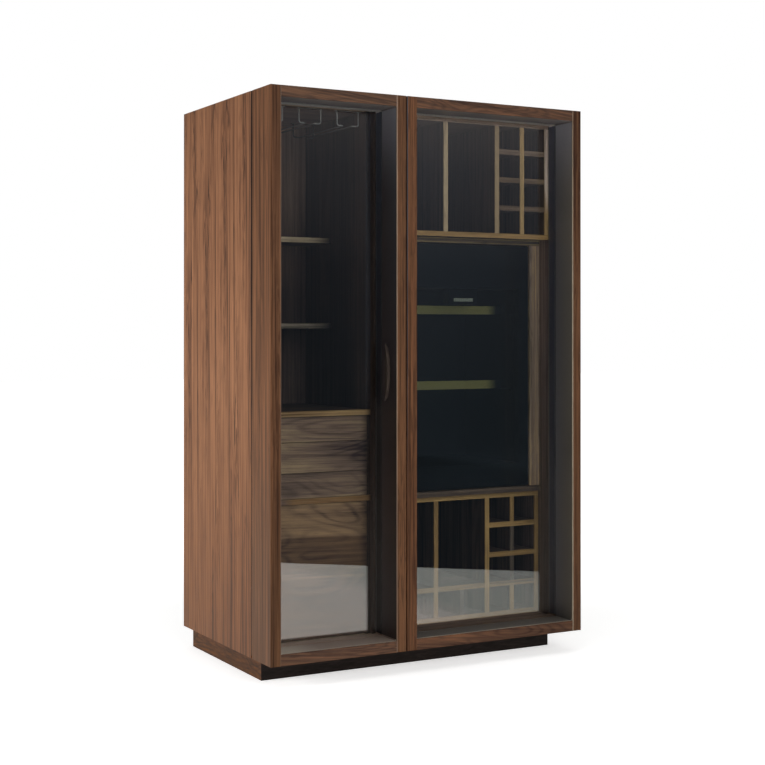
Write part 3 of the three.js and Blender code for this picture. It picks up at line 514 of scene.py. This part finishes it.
leftZones = [(shadedFoot, "sideLow"), (insideFace, "inside"), (carcassEdgeShadow, "shade")]
rightZones = leftZones + [(litInsideHigh, "insideCool")]
dress(["left_side"], walnut("sideWalnutLeft", "side", "z", 0.0, None, leftZones, veneer))
dress(["right_side"], walnut("sideWalnutRight", "right", "z", 3.0, "side", rightZones, veneer))


# painted light: the bays' ceiling is painted paler, and its front strip paler still
def ceiling(x, y, z):
    return z < plan["top"] - plan["board"] + plan["skin"]


def ceilingSill(x, y, z):
    return ceiling(x, y, z) * (y < carcassShades["ceilingSill"])


# painted light: the bays' floor is painted paler, and its front strip in the left bay paler still
def bayFloor(x, y, z):
    return z > plan["bottom"] + plan["board"] - plan["skin"]


def floorSill(x, y, z):
    return bayFloor(x, y, z) * (y < carcassShades["floorSill"]) * (x < plan["bayRight"])


topZones = [(ceiling, "insideTop"), (ceilingSill, "litSill")]
bottomZones = [(bayFloor, "insideWarm"), (floorSill, "litSill")]
dress(["top_panel"], walnut("topWalnut", "top", "x", 5.0, "side", topZones))
dress(["bottom_panel"], walnut("bottomWalnut", "top", "x", 5.5, "side", bottomZones))
# painted shade on the plinth's front face, which also runs its grain crosswise
plinthFront = before(plan["carcassFront"] + plan["skin"])
plinthZones = [(plinthFront, "shade")]
dress(["plinth"], walnut("plinthWalnut", "plinth", "y", 2.0, None, plinthZones, None, plinthFront))


# painted light: the left bay is painted paler near its ceiling and just above its counter
def litBackHigh(x, y, z):
    high = rise(z, *carcassShades["litBackHigh"])
    return high * (x < plan["bayRight"]) * carcassShades["backHighStrength"]


def litBackLow(x, y, z):
    low = fall(z, *carcassShades["litBackLow"])
    return low * (x < plan["bayRight"]) * carcassShades["backLowStrength"]


backZones = [(litBackHigh, "insideBack"), (litBackLow, "insideWarm")]
dress(["back_panel"], walnut("backWalnut", "inside", "z", 6.0, "insideCell", backZones))
dress(["partition"], walnut("partitionWalnut", "inside", "z", 7.0))


# painted light: the linings are painted paler upwards and warmer just above the counter; painted shade:
# the right lining's front edge is dark, darker still upwards
def litLiningHigh(x, y, z):
    return rise(z, *carcassShades["lining"])


def litLiningLow(x, y, z):
    low = fall(z, *carcassShades["litLiningLow"])
    return (z > carcassShades["liningFoot"]) * low * carcassShades["liningLowStrength"]


def liningEdgeShadow(x, y, z):
    return (y < carcassShades["liningFront"]) * rise(z, *carcassShades["liningEdgeShadow"])


liningZones = [(litLiningHigh, "insideCell")]
edgeZones = liningZones + [
    (litLiningLow, "insideWarm"), (before(carcassShades["liningFront"]), "lining"),
    (liningEdgeShadow, "edgeShade"),
]
dress(["left_lining"], walnut("leftLiningWalnut", "inside", "z", 8.0, "liningDim", liningZones))
dress(["right_lining"], walnut("rightLiningWalnut", "inside", "z", 8.4, "liningDim", edgeZones))

# Doors: each stile carries a painted highlight, a thin pale line along the arris at its left or right edge

doorShades = {
    "low": (0.95, 0.5), "high": (1.5, 0.3), "arrisWidth": 0.0026, "arrisDepth": 0.005, "arrisDark": 0.8,
}
doorSeeds = {
    "hinge": 11.0, "free": 12.0, "stileStep": 4.0, "top_rail": 20.0, "bottom_rail": 23.4, "pull": 26.0,
}
arrisHighlights = {
    "left_door_hinge": {
        "tone": tone(118, 104, 90), "edge": reach("left_door_hinge_stile", "x")[1],
        "strength": lambda z: rise(z, 0.3, 1.6) * 0.3 + 0.4,
    },
    "left_door_free": {
        "tone": tone(168, 148, 130), "edge": reach("left_door_free_stile", "x")[0],
        "strength": lambda z: rise(z, 0.3, 1.6) * 0.4 + 0.5,
    },
    "right_door_hinge": {
        "tone": tone(186, 172, 150), "edge": reach("right_door_hinge_stile", "x")[0],
        "strength": lambda z: fall(z, 1.95, 0.5) * 0.5 + 0.5,
    },
    "right_door_free": {
        "tone": tone(84, 82, 86), "edge": reach("right_door_free_stile", "x")[0],
        "strength": lambda z: rise(z, 0.5, 1.2),
    },
}
for key, arris in arrisHighlights.items():
    woodTones[key] = (darker(arris["tone"], doorShades["arrisDark"]), arris["tone"], arris["tone"])


# painted shade: the left hinge stile darkens at its foot and at its top
def stileShadedLow(x, y, z):
    return fall(z, *doorShades["low"])


def stileShadedHigh(x, y, z):
    return (y < plan["front"] + plan["edgeDepth"]) * rise(z, *doorShades["high"])


# painted highlight along the arris of a stile's front face
def arrisHighlight(arris):
    def test(x, y, z):
        line = abs(x - arris["edge"]) < doorShades["arrisWidth"]
        return line * (y < plan["front"] + doorShades["arrisDepth"]) * arris["strength"](z)
    return test


# each stile and rail takes its own lighter or darker copy of the door walnut, as painted light and shade
for number, door in enumerate(doors):
    for part in ("hinge", "free"):
        key = f"{door}_{part}"
        zones = [(arrisHighlight(arrisHighlights[key]), key)]
        if key == "left_door_hinge":
            zones[:0] = [(stileShadedLow, "doorLow"), (stileShadedHigh, "doorHigh")]
        seed = doorSeeds[part] + number * doorSeeds["stileStep"]
        dress([f"{key}_stile"], walnut(key + "Stile", "door", "z", seed, key + "_wood", zones))
    for part in ("top_rail", "bottom_rail"):
        key = f"{door}_{part}"
        dress([key], walnut(key + "Walnut", "rail", "x", doorSeeds[part] + number, key))
    dress([f"{door}_pull"], walnut(door + "Pull", "inside", "z", doorSeeds["pull"] + number, "pull"))


# The left bay: drawer fronts, and boards with lipped front edges

fadeCurve = 1.5


def fading(name, past, run):
    # painted shade: a piece that darkens towards its right end, where it runs into the shade
    end = reach(name, "x")[1] + past
    return lambda x, y, z: rise(x, end - run, run) ** fadeCurve


def frontOnly(plane, shade):
    return lambda x, y, z: (y < plane) * shade(x, y, z)


drawerLooks = {
    "past": 0.011, "run": 0.045, "seeds": (30.0, 35.4, 38.1), "deepSeed": 41.0,
    # the deep front has a darker foot with a wavy edge, and growth lines that close round one place
    "footLevel": 0.497, "footSwing": 0.006, "footWaves": 11.0, "footSoft": 0.012,
    "knot": {"x": -0.285, "z": 0.562, "wide": 0.12, "high": 0.05, "lean": 0.6, "rise": 0.17},
}
# painted shade at the drawers' right ends
drawerShadedEnd = [(fading("deep_drawer", drawerLooks["past"], drawerLooks["run"]), "lining")]
for number, seed in enumerate(drawerLooks["seeds"], 1):
    wood = walnut(f"drawerWalnut{number}", "drawer", "x", seed, None, drawerShadedEnd)
    dress([f"drawer_{number}"], wood)


def footShade(x, y, z):
    wave = (x * drawerLooks["footWaves"]).sine() * drawerLooks["footSwing"]
    return ((drawerLooks["footLevel"] + wave - z) / drawerLooks["footSoft"]).clamped()


deepZones = [(footShade, "deepDark")] + drawerShadedEnd
deepKnot, deepSeed = drawerLooks["knot"], drawerLooks["deepSeed"]
deepWood = walnut("deepDrawerWalnut", "deep", "x", deepSeed, None, deepZones, None, None, deepKnot)
dress(["deep_drawer"], deepWood)

boards = {
    "counter_board": {"tones": "lipping", "past": -0.0022, "run": 0.03, "seed": 45.0},
    "drawer_base_board": {"tones": "lippingDeep", "past": -0.0022, "run": 0.03, "seed": 46.3},
    "upper_shelf": {"tones": "shelfEdge", "past": -0.0042, "run": 0.1, "seed": 47.0},
    "lower_shelf": {"tones": "shelfEdgeDim", "past": -0.0042, "run": 0.1, "seed": 48.4},
}
boardLip = 0.0102
# painted light: the base board's front is painted paler towards its left end
baseLeft = {"from": -0.49, "run": 0.04, "strength": 0.8}


def baseLeftLight(x, y, z):
    return fall(x, baseLeft["from"], baseLeft["run"]) * baseLeft["strength"]


for name, look in boards.items():
    front = reach(name, "y")[0] + boardLip
    dimEnd = frontOnly(front, fading(name, look["past"], look["run"]))
    zones = [(before(front), look["tones"]), (dimEnd, "lining")]
    if name == "drawer_base_board":
        zones.append((frontOnly(front, baseLeftLight), "insideWarm"))
    dress([name], walnut(name + "Wood", "edge", "x", look["seed"], "inside", zones))


# Racks: the front edges of the cells are lipped; each strip's tone is partly another strip of wood and
# partly painted light and shade

rackPlan = {
    "right": reach("upper_rack_box", "x")[1], "board": thickness("upper_rack_divider_1", "x"),
    "row": reach("lower_rack_shelf_3", "z")[0] - reach("lower_rack_shelf_2", "z")[0],
    "lip": 0.004, "wallDepth": 0.001, "seedStep": 1.3,
    # painted light: the right wall's edge is painted paler above its foot; painted shade: the lowest shelf
    # is painted dim up to here
    "paleFrom": 0.1, "paleRun": 0.09, "dimRight": 0.3,
}
racks = {
    "upper_rack": {
        "seed": 50.0,
        "strips": {
            "box": "rackTan", "divider_1": "rackGrey", "divider_2": "rackBrown", "divider_3": "rackTan",
            "shelf_1": "rackShade", "shelf_2": "rackMid", "shelf_3": "rackDim",
        },
    },
    "lower_rack": {
        "seed": 61.0,
        "strips": {
            "box": "lowTan", "divider_1": "lowTan", "divider_2": "lowHigh", "divider_3": "lowTan",
            "shelf_1": "lowTan", "shelf_2": "lowTan", "shelf_3": "lowHigh",
        },
    },
}
for rack, look in racks.items():
    look["front"] = reach(f"{rack}_box", "y")[0]
    look["low"], look["high"] = reach(f"{rack}_box", "z")


def lowBoard(rack):
    return lambda x, y, z: z < rack["low"] + rackPlan["board"]


def highBoard(rack):
    return lambda x, y, z: z > rack["high"] - rackPlan["board"]


def flatBoards(rack):
    return lambda x, y, z: lowBoard(rack)(x, y, z) + highBoard(rack)(x, y, z)


# painted light on the right wall's front edge, rising above its foot
def litWall(x, y, z):
    start = racks["upper_rack"]["low"] + rackPlan["paleFrom"]
    return (x > rackPlan["right"] - rackPlan["board"]) * rise(z, start, rackPlan["paleRun"])


# painted shade on the middle rows of the lower rack's third divider
def shadedMiddleRows(x, y, z):
    low = racks["lower_rack"]["low"]
    return (z > low + rackPlan["row"]) * (z < low + 3 * rackPlan["row"])


# painted shade on the left part of the lower rack's lowest shelf
def dimShelf(x, y, z):
    return (z < racks["lower_rack"]["low"] + rackPlan["row"]) * (x < rackPlan["dimRight"])


def litRightWall(x, y, z):
    # painted light on the inner face of the right wall, which looks back at the camera
    return x > rackPlan["right"] - rackPlan["board"] - rackPlan["wallDepth"]


# some strips change tone along the way, as painted light and shade, the box's head and foot partly as
# strips of their own wood
stripChanges = {
    "upper_rack_box": [
        (litWall, "rackPale"), (highBoard(racks["upper_rack"]), "rackHead"),
        (lowBoard(racks["upper_rack"]), "rackFoot"),
    ],
    "lower_rack_box": [(highBoard(racks["lower_rack"]), "lowHigh")],
    "lower_rack_divider_3": [(shadedMiddleRows, "lowDim")],
    "lower_rack_shelf_1": [(dimShelf, "lowDim")],
}
for rack, look in racks.items():
    plane = look["front"] + rackPlan["lip"]
    for number, (part, tones) in enumerate(look["strips"].items(), 1):
        name = f"{rack}_{part}"
        zones = [(litRightWall, "insideWall"), (before(plane), tones)]
        zones += [(frontOnly(plane, change), other) for change, other in stripChanges.get(name, [])]
        grain = "x" if part.startswith("shelf") else "z"
        seed = look["seed"] + number * rackPlan["seedStep"]
        crosswise = flatBoards(look) if part == "box" else None
        dress([name], walnut(name + "Wood", "edge", grain, seed, "insideCell", zones, None, crosswise))


# The cooler's wooden surround

surroundLow, surroundHigh = reach("cooler_surround", "z")
surround = {
    "foot": surroundLow + 0.0222, "head": surroundHigh - 0.0214,
    "topLine": surroundHigh - 0.0039, "topStrength": 0.8,
    "lowLine": (surroundHigh - 0.0189, surroundHigh - 0.0144), "lowStrength": 0.7,
    "stileHighlight": reach("cooler_housing", "x")[1] + 0.0018, "lineStrength": 0.45,
    "lineSway": 0.004, "lineWaves": 7.0, "lineWidth": 0.0035,
}


# painted shade on the level boards at foot and head, which also run their grain crosswise
def levelBoards(x, y, z):
    return (z < surround["foot"]) + (z > surround["head"])


def headHighlights(x, y, z):
    # painted highlights: thin pale lines along the head, at its top and near its foot
    low, high = surround["lowLine"]
    lines = (z > surround["topLine"]) * surround["topStrength"]
    return lines + (z > low) * (z < high) * surround["lowStrength"]


# painted highlight: a thin, wavering pale line down the stile beside the cooler's housing
def stileHighlight(x, y, z):
    sway = (z * surround["lineWaves"]).sine() * surround["lineSway"]
    line = abs(x - surround["stileHighlight"] - sway) < surround["lineWidth"]
    return line * (z > surround["foot"]) * (z < surround["head"]) * surround["lineStrength"]


surroundZones = [(levelBoards, "trimDim"), (headHighlights, "trimHighlight"), (stileHighlight, "trimHighlight")]
dress(["cooler_surround"], walnut(
    "surroundWalnut", "trim", "z", 57.0, None, surroundZones, None, levelBoards,
))
print("wood done")


# Metals, plastics and rubber

metalLooks = {
    "bronze": {"colour": tone(104, 97, 90), "metal": 0.25, "rough": 0.42},
    "hinge": {"colour": tone(72, 56, 46), "metal": 0.6, "rough": 0.45},
    "chrome": {"colour": tone(196, 194, 192), "metal": 0.5, "rough": 0.22},
    "black": {"colour": tone(9, 14, 18), "metal": 0.0, "rough": 0.6},
    "rubber": {"colour": tone(14, 14, 15), "metal": 0.0, "rough": 0.75},
}
# how the brush lines and a soft cloud share the tone and the sheen
brushMix = {
    "lines": 0.6, "cloud": 0.4, "dark": 0.8, "darkAt": 0.25, "paleAt": 0.75,
    "sheenLines": 0.1, "sheenCloud": 0.06, "bump": 0.12, "bumpDepth": 0.0002,
}
# scale, detail and roughness of the two
brushLines = (1.0, 3.0, 0.6)
brushCloud = (3.0, 3.0, 0.5)
# brush lines per metre on each axis
brushGrains = {
    "upright": (40.0, 40.0, 900.0), "liner": (500.0, 60.0, 500.0),
    "fine": (700.0, 700.0, 700.0), "rubber": (300.0, 300.0, 300.0),
}


def brushed(name, look, grain="upright", zones=()):
    settings = metalLooks[look]
    finish = Finish(name)
    place = finish.place()
    x, y, z = finish.axes(place)
    lines = finish.noise(finish.stretched(place, brushGrains[grain]), *brushLines)
    cloud = finish.noise(place, *brushCloud)
    shade = lines * brushMix["lines"] + cloud * brushMix["cloud"]

    def palette(colour):
        stops = [(brushMix["darkAt"], darker(colour, brushMix["dark"])), (brushMix["paleAt"], colour)]
        return finish.ramp(shade, stops)

    colour = palette(settings["colour"])
    for test, zoneTone in zones:
        colour = finish.blend(test(x, y, z), colour, palette(zoneTone))
    sheen = settings["rough"] + (lines - 0.5) * brushMix["sheenLines"]
    sheen = sheen + (cloud - 0.5) * brushMix["sheenCloud"]
    return finish.surface(
        Base_Color=colour, Metallic=settings["metal"], Roughness=sheen.clamped(),
        Normal=finish.bump(lines, brushMix["bump"], brushMix["bumpDepth"]),
    )


# Liners: one bronze painted with light and shade face by face, differently in each door: darker behind the
# glass, with a painted highlight line where the pane and the rear arris sit

linerTones = {
    "left_door": {
        "low": tone(45, 30, 25), "high": tone(92, 95, 102), "glassward": tone(60, 52, 52),
        "floor": tone(163, 149, 137), "floorRear": tone(140, 116, 104),
        "roof": tone(150, 142, 139), "roofRear": tone(104, 100, 102),
        "hiddenLow": tone(24, 18, 21), "hiddenHigh": tone(86, 97, 118), "hiddenFloor": tone(212, 180, 163),
    },
    "right_door": {
        "low": tone(110, 103, 92), "high": tone(128, 122, 113), "glassward": tone(86, 88, 96),
        "floor": tone(107, 103, 97), "floorRear": tone(78, 69, 63),
        "roof": tone(150, 142, 139), "roofRear": tone(104, 100, 102),
        "hiddenLow": tone(62, 64, 82), "hiddenHigh": tone(84, 86, 108), "hiddenFloor": tone(128, 102, 88),
    },
    "both": {
        "line": tone(120, 120, 118), "hiddenRoof": tone(255, 246, 244),
        "litTop": tone(168, 168, 178), "paleHighlight": tone(214, 204, 188),
    },
}
linerMargin = 0.0054
linerPlaces = {
    "floor": plan["bottom"] + plan["face"] + linerMargin,
    "roof": plan["top"] - plan["face"] - linerMargin,
    "rising": (0.8, 1.3), "litTop": (1.72, 0.36), "glassward": 0.8, "floorRear": 0.5,
    "creamFrom": -0.45, "creamRun": 0.12, "creamStrength": 0.7, "lipDepth": 0.012,
    "lineEnd": plan["glassRear"] + 0.0035, "lineStrength": 0.5,
    "rearArris": plan["linerRear"] - 0.004,
}


def onFloor(x, y, z):
    return z < linerPlaces["floor"]


def onRoof(x, y, z):
    return z > linerPlaces["roof"]


def onSides(x, y, z):
    return (z > linerPlaces["floor"]) * (z < linerPlaces["roof"])


def rising(z):
    return rise(z, *linerPlaces["rising"])


def inward(y):
    # grows from the front of the door to its glass
    return rise(y, plan["front"], plan["glassFront"] - plan["front"])


# painted light: the sides paler upwards, towards the glass and at their very top
def sidesHigh(x, y, z):
    return onSides(x, y, z) * rising(z)


def sidesRear(x, y, z):
    return onSides(x, y, z) * inward(y) * linerPlaces["glassward"]


def sidesLitTop(x, y, z):
    return onSides(x, y, z) * rise(z, *linerPlaces["litTop"]) ** 2.0


# painted light and shade on the floor and roof: darker towards the glass, and a painted highlight on the
# floor's left end and front lip
def floorRear(x, y, z):
    return onFloor(x, y, z) * inward(y) * linerPlaces["floorRear"]


def floorLeft(x, y, z):
    paleHighlight = fall(x, linerPlaces["creamFrom"], linerPlaces["creamRun"])
    return onFloor(x, y, z) * paleHighlight * linerPlaces["creamStrength"]


def floorLip(x, y, z):
    return onFloor(x, y, z) * (y < plan["front"] + linerPlaces["lipDepth"])


def roofRear(x, y, z):
    return onRoof(x, y, z) * inward(y)


# painted shade and light behind the glass: dark low down, paler up high, and paler roof and floor
def hidden(x, y, z):
    return y > plan["glassRear"]


def hiddenHigh(x, y, z):
    return hidden(x, y, z) * rising(z)


def hiddenRoof(x, y, z):
    return hidden(x, y, z) * onRoof(x, y, z)


def hiddenFloor(x, y, z):
    return hidden(x, y, z) * onFloor(x, y, z)


# painted highlight lines where the pane and the rear arris sit
def glassLine(x, y, z):
    line = hidden(x, y, z) * (y < linerPlaces["lineEnd"])
    return line * (1 - onFloor(x, y, z)) * linerPlaces["lineStrength"]


def rearArris(x, y, z):
    return (y > linerPlaces["rearArris"]) * onSides(x, y, z)


for door in doors:
    tones = dict(linerTones[door], **linerTones["both"])
    zones = [
        (onSides, tones["low"]), (sidesHigh, tones["high"]), (sidesRear, tones["glassward"]),
        (sidesLitTop, tones["litTop"]), (onFloor, tones["floor"]), (floorRear, tones["floorRear"]),
        (floorLeft, tones["paleHighlight"]), (floorLip, tones["paleHighlight"]), (onRoof, tones["roof"]),
        (roofRear, tones["roofRear"]), (hidden, tones["hiddenLow"]), (hiddenHigh, tones["hiddenHigh"]),
        (hiddenRoof, tones["hiddenRoof"]), (hiddenFloor, tones["hiddenFloor"]),
        (glassLine, tones["line"]), (rearArris, tones["line"]),
    ]
    dress([f"{door}_liner"], brushed(door + "Bronze", "bronze", "liner", zones))


# Hinges, hanging racks and the cooler's body

hingeShade = {"high": (0.8, 0.6), "tone": tone(18, 15, 14)}
wireShade = {"rear": (-0.2, 0.4), "tone": tone(70, 70, 74)}


# painted shade: the hinges darken upwards
def hingeShadedHigh(x, y, z):
    return rise(z, *hingeShade["high"])


# painted shade: the wires darken towards the rear
def wireShadedRear(x, y, z):
    return rise(y, *wireShade["rear"])


hingeLeaves = [f"{door}_hinge_{leaf}_leaf" for door in doors for leaf in ("carcass", "door")]
dress(hingeLeaves, brushed("hingeSteel", "hinge", "upright", [(hingeShadedHigh, hingeShade["tone"])]))
chrome = brushed("rackChrome", "chrome", "upright", [(wireShadedRear, wireShade["tone"])])
dress([f"stem_rack_{place}" for place in ("left", "middle", "right")], chrome)
dress(["cooler_housing", "cooler_door_frame"], brushed("coolerBlack", "black", "fine"))
dress(["cooler_gasket"], brushed("gasketRubber", "rubber", "rubber"))


# Painted light: the display and the shelf fronts glow, standing in for the cooler's own lamp

litLooks = {
    "display": {
        "colour": tone(226, 222, 190), "glow": 0.097, "ribs": 640.0, "ribGain": 2.0, "ribShade": 0.3,
    },
    "shelf": {"colour": tone(204, 184, 104), "glow": 0.055, "fade": (0.465, 0.045)},
}
litMix = {
    "lines": (6.0, 300.0, 300.0), "cloud": (5.0, 20.0, 20.0), "share": 0.5,
    "dark": 0.72, "darkAt": 0.3, "paleAt": 0.7, "rough": 0.5,
    "bump": 0.08, "bumpDepth": 0.0002, "unlit": (0.01, 0.011, 0.012, 1.0),
}


def lit(name, look):
    settings = litLooks[look]
    finish = Finish(name)
    place = finish.place()
    x, y, z = finish.axes(place)
    lines = finish.noise(finish.stretched(place, litMix["lines"]), *brushLines)
    cloud = finish.noise(finish.stretched(place, litMix["cloud"]), 1.0, 2.0)
    dark = darker(settings["colour"], litMix["dark"])
    stops = [(litMix["darkAt"], dark), (litMix["paleAt"], settings["colour"])]
    colour = finish.ramp(lines * litMix["share"] + cloud * litMix["share"], stops)
    if look == "shelf":
        # painted shade: the painted glow thins out towards the right end
        shade = rise(x, *settings["fade"])
    else:
        # faint upright ribs across the cover
        ribs = (x * settings["ribs"]).sine() * settings["ribGain"]
        shade = ribs.clamped() * settings["ribShade"]
    colour = finish.blend(shade, colour, litMix["unlit"])
    return finish.surface(
        Base_Color=colour, Roughness=litMix["rough"], Emission_Color=colour,
        Emission_Strength=settings["glow"], Normal=finish.bump(lines, litMix["bump"], litMix["bumpDepth"]),
    )


dress(["cooler_display"], lit("displayCover", "display"))
dress(["cooler_shelf_1", "cooler_shelf_2"], lit("coolerShelfWood", "shelf"))


# Glass: see-through, with a mirror share that rises towards the edge of sight

mirrorCurve = 5.0
glassLooks = {
    "clear": {"tint": (0.93, 0.95, 0.945, 1.0), "facing": 0.078},
    "smoked": {"tint": (0.72, 0.75, 0.78, 1.0), "facing": 0.03},
}


def pane(name, look):
    settings = glassLooks[look]
    finish = Finish(name)
    slant = finish.make("ShaderNodeLayerWeight", None, {"Blend": 0.5}, "Facing")
    # only the two faces of the pane mirror, not its narrow edges
    across, deep, upward = finish.axes(finish.make("ShaderNodeTexCoord", out="Normal"))
    mirror = slant ** mirrorCurve * (1 - settings["facing"]) + settings["facing"]
    mirror = mirror * (abs(deep) > 0.5)
    through = finish.make("ShaderNodeBsdfTransparent", None, {"Color": settings["tint"]})
    gloss = finish.make("ShaderNodeBsdfGlossy", None, {"Color": (1, 1, 1, 1), "Roughness": 0.0})
    return finish.ends(finish.make("ShaderNodeMixShader", None, {0: mirror, 1: through, 2: gloss}))


dress(["left_door_glass", "right_door_glass"], pane("doorGlass", "clear"))
dress(["cooler_door_glass"], pane("coolerGlass", "smoked"))
print("metal and glass done")


# Stage: a pale floor; to mirror rays it glows as a painted reflection, warmer on the left and dim on the
# right

stageLook = {
    "floorTone": (0.82, 0.82, 0.81, 1.0), "halfFloor": 30.0,
    "shownNear": 0.6, "shownFar": 0.9, "nearToFar": (1.3, 1.6),
    "mirrorWarm": (0.9, 0.77, 0.68, 1.0), "mirrorCool": (0.36, 0.375, 0.32, 1.0),
    "mirrorDim": (0.1, 0.12, 0.11, 1.0), "warmToCool": (0.5, 0.25), "coolToDim": (1.1, 0.6),
}
white = (1.0, 1.0, 1.0, 1.0)
black = (0.0, 0.0, 0.0, 1.0)


def stageSheet(name, corners, material):
    mesh = bpy.data.meshes.new(name)
    mesh.from_pydata([tuple(c) for c in corners], [], [tuple(range(len(corners)))])
    sheet = bpy.data.objects.new(name, mesh)
    sheet.data.materials.append(material)
    bpy.context.scene.collection.objects.link(sheet)
    return sheet


def paleFloor():
    finish = Finish("paleFloor")
    x, y, z = finish.axes(finish.place())
    far = rise((x * x + y * y) ** 0.5, *stageLook["nearToFar"])
    shown = far * (stageLook["shownFar"] - stageLook["shownNear"]) + stageLook["shownNear"]
    cameraRay = finish.make("ShaderNodeLightPath", out="Is Camera Ray")
    glossyRay = finish.make("ShaderNodeLightPath", out="Is Glossy Ray")
    cool = rise(x, *stageLook["warmToCool"])
    mirrored = finish.blend(cool, stageLook["mirrorWarm"], stageLook["mirrorCool"])
    mirrored = finish.blend(rise(x, *stageLook["coolToDim"]), mirrored, stageLook["mirrorDim"])
    glowTone = finish.blend(glossyRay, white, mirrored)
    glowTone = finish.blend((cameraRay * shown + glossyRay).clamped(), black, glowTone)
    pale = finish.make("ShaderNodeBsdfDiffuse", None, {"Color": stageLook["floorTone"]})
    glow = finish.make("ShaderNodeEmission", None, {"Color": glowTone})
    return finish.ends(finish.make("ShaderNodeAddShader", None, {0: pale, 1: glow}))


half = stageLook["halfFloor"]
stageSheet("floor", [(-half, -half, 0), (half, -half, 0), (half, half, 0), (-half, half, 0)], paleFloor())


# Painted reflection: sheets of a dim, bluish room in front of the cabinet, seen only by mirror rays, which
# the panes mirror with the pale floor

darkRoom = {
    "nearEdge": ((0.55, -2.71), (1.6, -1.81)), "reach": 16.0, "lift": 0.004, "height": 9.0,
    "left": -14.0, "right": 14.0, "farWall": -9.0, "sideWall": 9.0, "sideEnd": 3.0,
    "ceiling": 6.0, "ceilingDepth": 8.4,
    # its tones at shares of this height
    "toneHeight": 4.0,
    "tones": [
        (0.1, (0.05, 0.064, 0.078, 1.0)), (0.48, (0.077, 0.089, 0.109, 1.0)),
        (0.74, (0.18, 0.185, 0.21, 1.0)), (0.92, (0.34, 0.32, 0.325, 1.0)),
    ],
    # the painted room is a little lighter in the middle of its right part
    "glow": 0.67, "brighter": 0.33, "brighterFrom": (4.5, 0.25), "dimmer": 0.16, "dimmerFrom": (5.2, 1.0),
}


def dimRoom():
    finish = Finish("dimRoom")
    x, y, z = finish.axes(finish.place())
    roomTone = finish.ramp((z / darkRoom["toneHeight"]).clamped(), darkRoom["tones"])
    glow = rise(x, *darkRoom["brighterFrom"]) * darkRoom["brighter"] + darkRoom["glow"]
    glow = glow - rise(x, *darkRoom["dimmerFrom"]) * darkRoom["dimmer"]
    roomTone = finish.blend(glow, black, roomTone)
    return finish.ends(finish.make("ShaderNodeEmission", None, {"Color": roomTone}))


roomMaterial = dimRoom()


def mirrorOnly(name, corners):
    sheet = stageSheet(name, corners, roomMaterial)
    for sense in ("camera", "diffuse", "transmission", "shadow", "volume_scatter"):
        setattr(sheet, "visible_" + sense, False)


def upright(name, first, second):
    lift = Vector((0, 0, darkRoom["height"]))
    mirrorOnly(name, [first, second, second + lift, first + lift])


# its floor begins at a slanting edge, some way in front of the cabinet
edgeA, edgeB = (Vector((x, y, 0)) for x, y in darkRoom["nearEdge"])
sideways = (edgeB - edgeA).normalized() * darkRoom["reach"]
away = Vector((sideways.y, -sideways.x, 0))
middle = (edgeA + edgeB) / 2 + Vector((0, 0, darkRoom["lift"]))
nearA, nearB = middle - sideways, middle + sideways
mirrorOnly("dimFloor", [nearA, nearB, nearB + away, nearA + away])
far, left, right = darkRoom["farWall"], darkRoom["left"], darkRoom["right"]
upright("dimWall", Vector((left, far, 0)), Vector((right, far, 0)))
side = darkRoom["sideWall"]
upright("dimSide", Vector((side, far, 0)), Vector((side, darkRoom["sideEnd"], 0)))
near = far + darkRoom["ceilingDepth"]
ceilingPlan = ((left, far), (right, far), (right, near), (left, near))
mirrorOnly("dimCeiling", [(x, y, darkRoom["ceiling"]) for x, y in ceilingPlan])


# The world lights softly, and what the camera sees of it is white

worldLook = {"tone": white, "light": 0.3, "shown": 1.0}
world = bpy.data.worlds.new("studio")
bpy.context.scene.world = world
sky = Finish("studio", world)


def background(part):
    sockets = {"Color": worldLook["tone"], "Strength": worldLook[part]}
    return sky.make("ShaderNodeBackground", None, sockets)


cameraRay = sky.make("ShaderNodeLightPath", out="Is Camera Ray")
seen = cameraRay.either(sky.make("ShaderNodeLightPath", out="Is Transmission Ray"))
sky.ends(sky.make("ShaderNodeMixShader", None, {0: seen, 1: background("light"), 2: background("shown")}))

lamps = {
    "sideLamp": {"at": (-3.6, 0.4, 1.15), "aim": (-0.66, 0.2, 1.15), "size": (1.4, 1.2), "power": 80},
    "frontLamp": {"at": (0.45, -4.4, 2.3), "aim": (0.1, 0.0, 1.05), "size": (2.4, 1.6), "power": 70},
    "topLamp": {"at": (0.2, -1.2, 4.8), "aim": (0.1, -0.2, 0.9), "size": (2.4, 2.4), "power": 45},
}
for name, spec in lamps.items():
    light = bpy.data.lights.new(name, "AREA")
    light.shape = "RECTANGLE"
    light.size, light.size_y = spec["size"]
    light.energy = spec["power"]
    lamp = bpy.data.objects.new(name, light)
    lamp.location = spec["at"]
    lamp.rotation_mode = "QUATERNION"
    lamp.rotation_quaternion = (Vector(spec["aim"]) - Vector(spec["at"])).to_track_quat("-Z", "Y")
    bpy.context.scene.collection.objects.link(lamp)
    lamp.visible_glossy = False

view = {
    "at": (-2.77517, -5.04377, 1.25132), "yaw": 28.8806, "pitch": 0.2047,
    "lens": 69.04, "sensor": 36.0, "shiftY": -0.075, "reach": 200.0,
}
yaw, pitch = math.radians(view["yaw"]), math.radians(view["pitch"])
ahead = Vector((math.sin(yaw) * math.cos(pitch), math.cos(yaw) * math.cos(pitch), math.sin(pitch)))
camera = bpy.data.objects.new("photoCamera", bpy.data.cameras.new("photoCamera"))
camera.data.sensor_width = view["sensor"]
camera.data.lens = view["lens"]
camera.data.shift_y = view["shiftY"]
camera.data.clip_end = view["reach"]
camera.location = view["at"]
camera.rotation_mode = "QUATERNION"
camera.rotation_quaternion = ahead.to_track_quat("-Z", "Y")
bpy.context.scene.collection.objects.link(camera)
bpy.context.scene.camera = camera
bpy.context.scene.view_settings.view_transform = "Standard"
print("stage done")
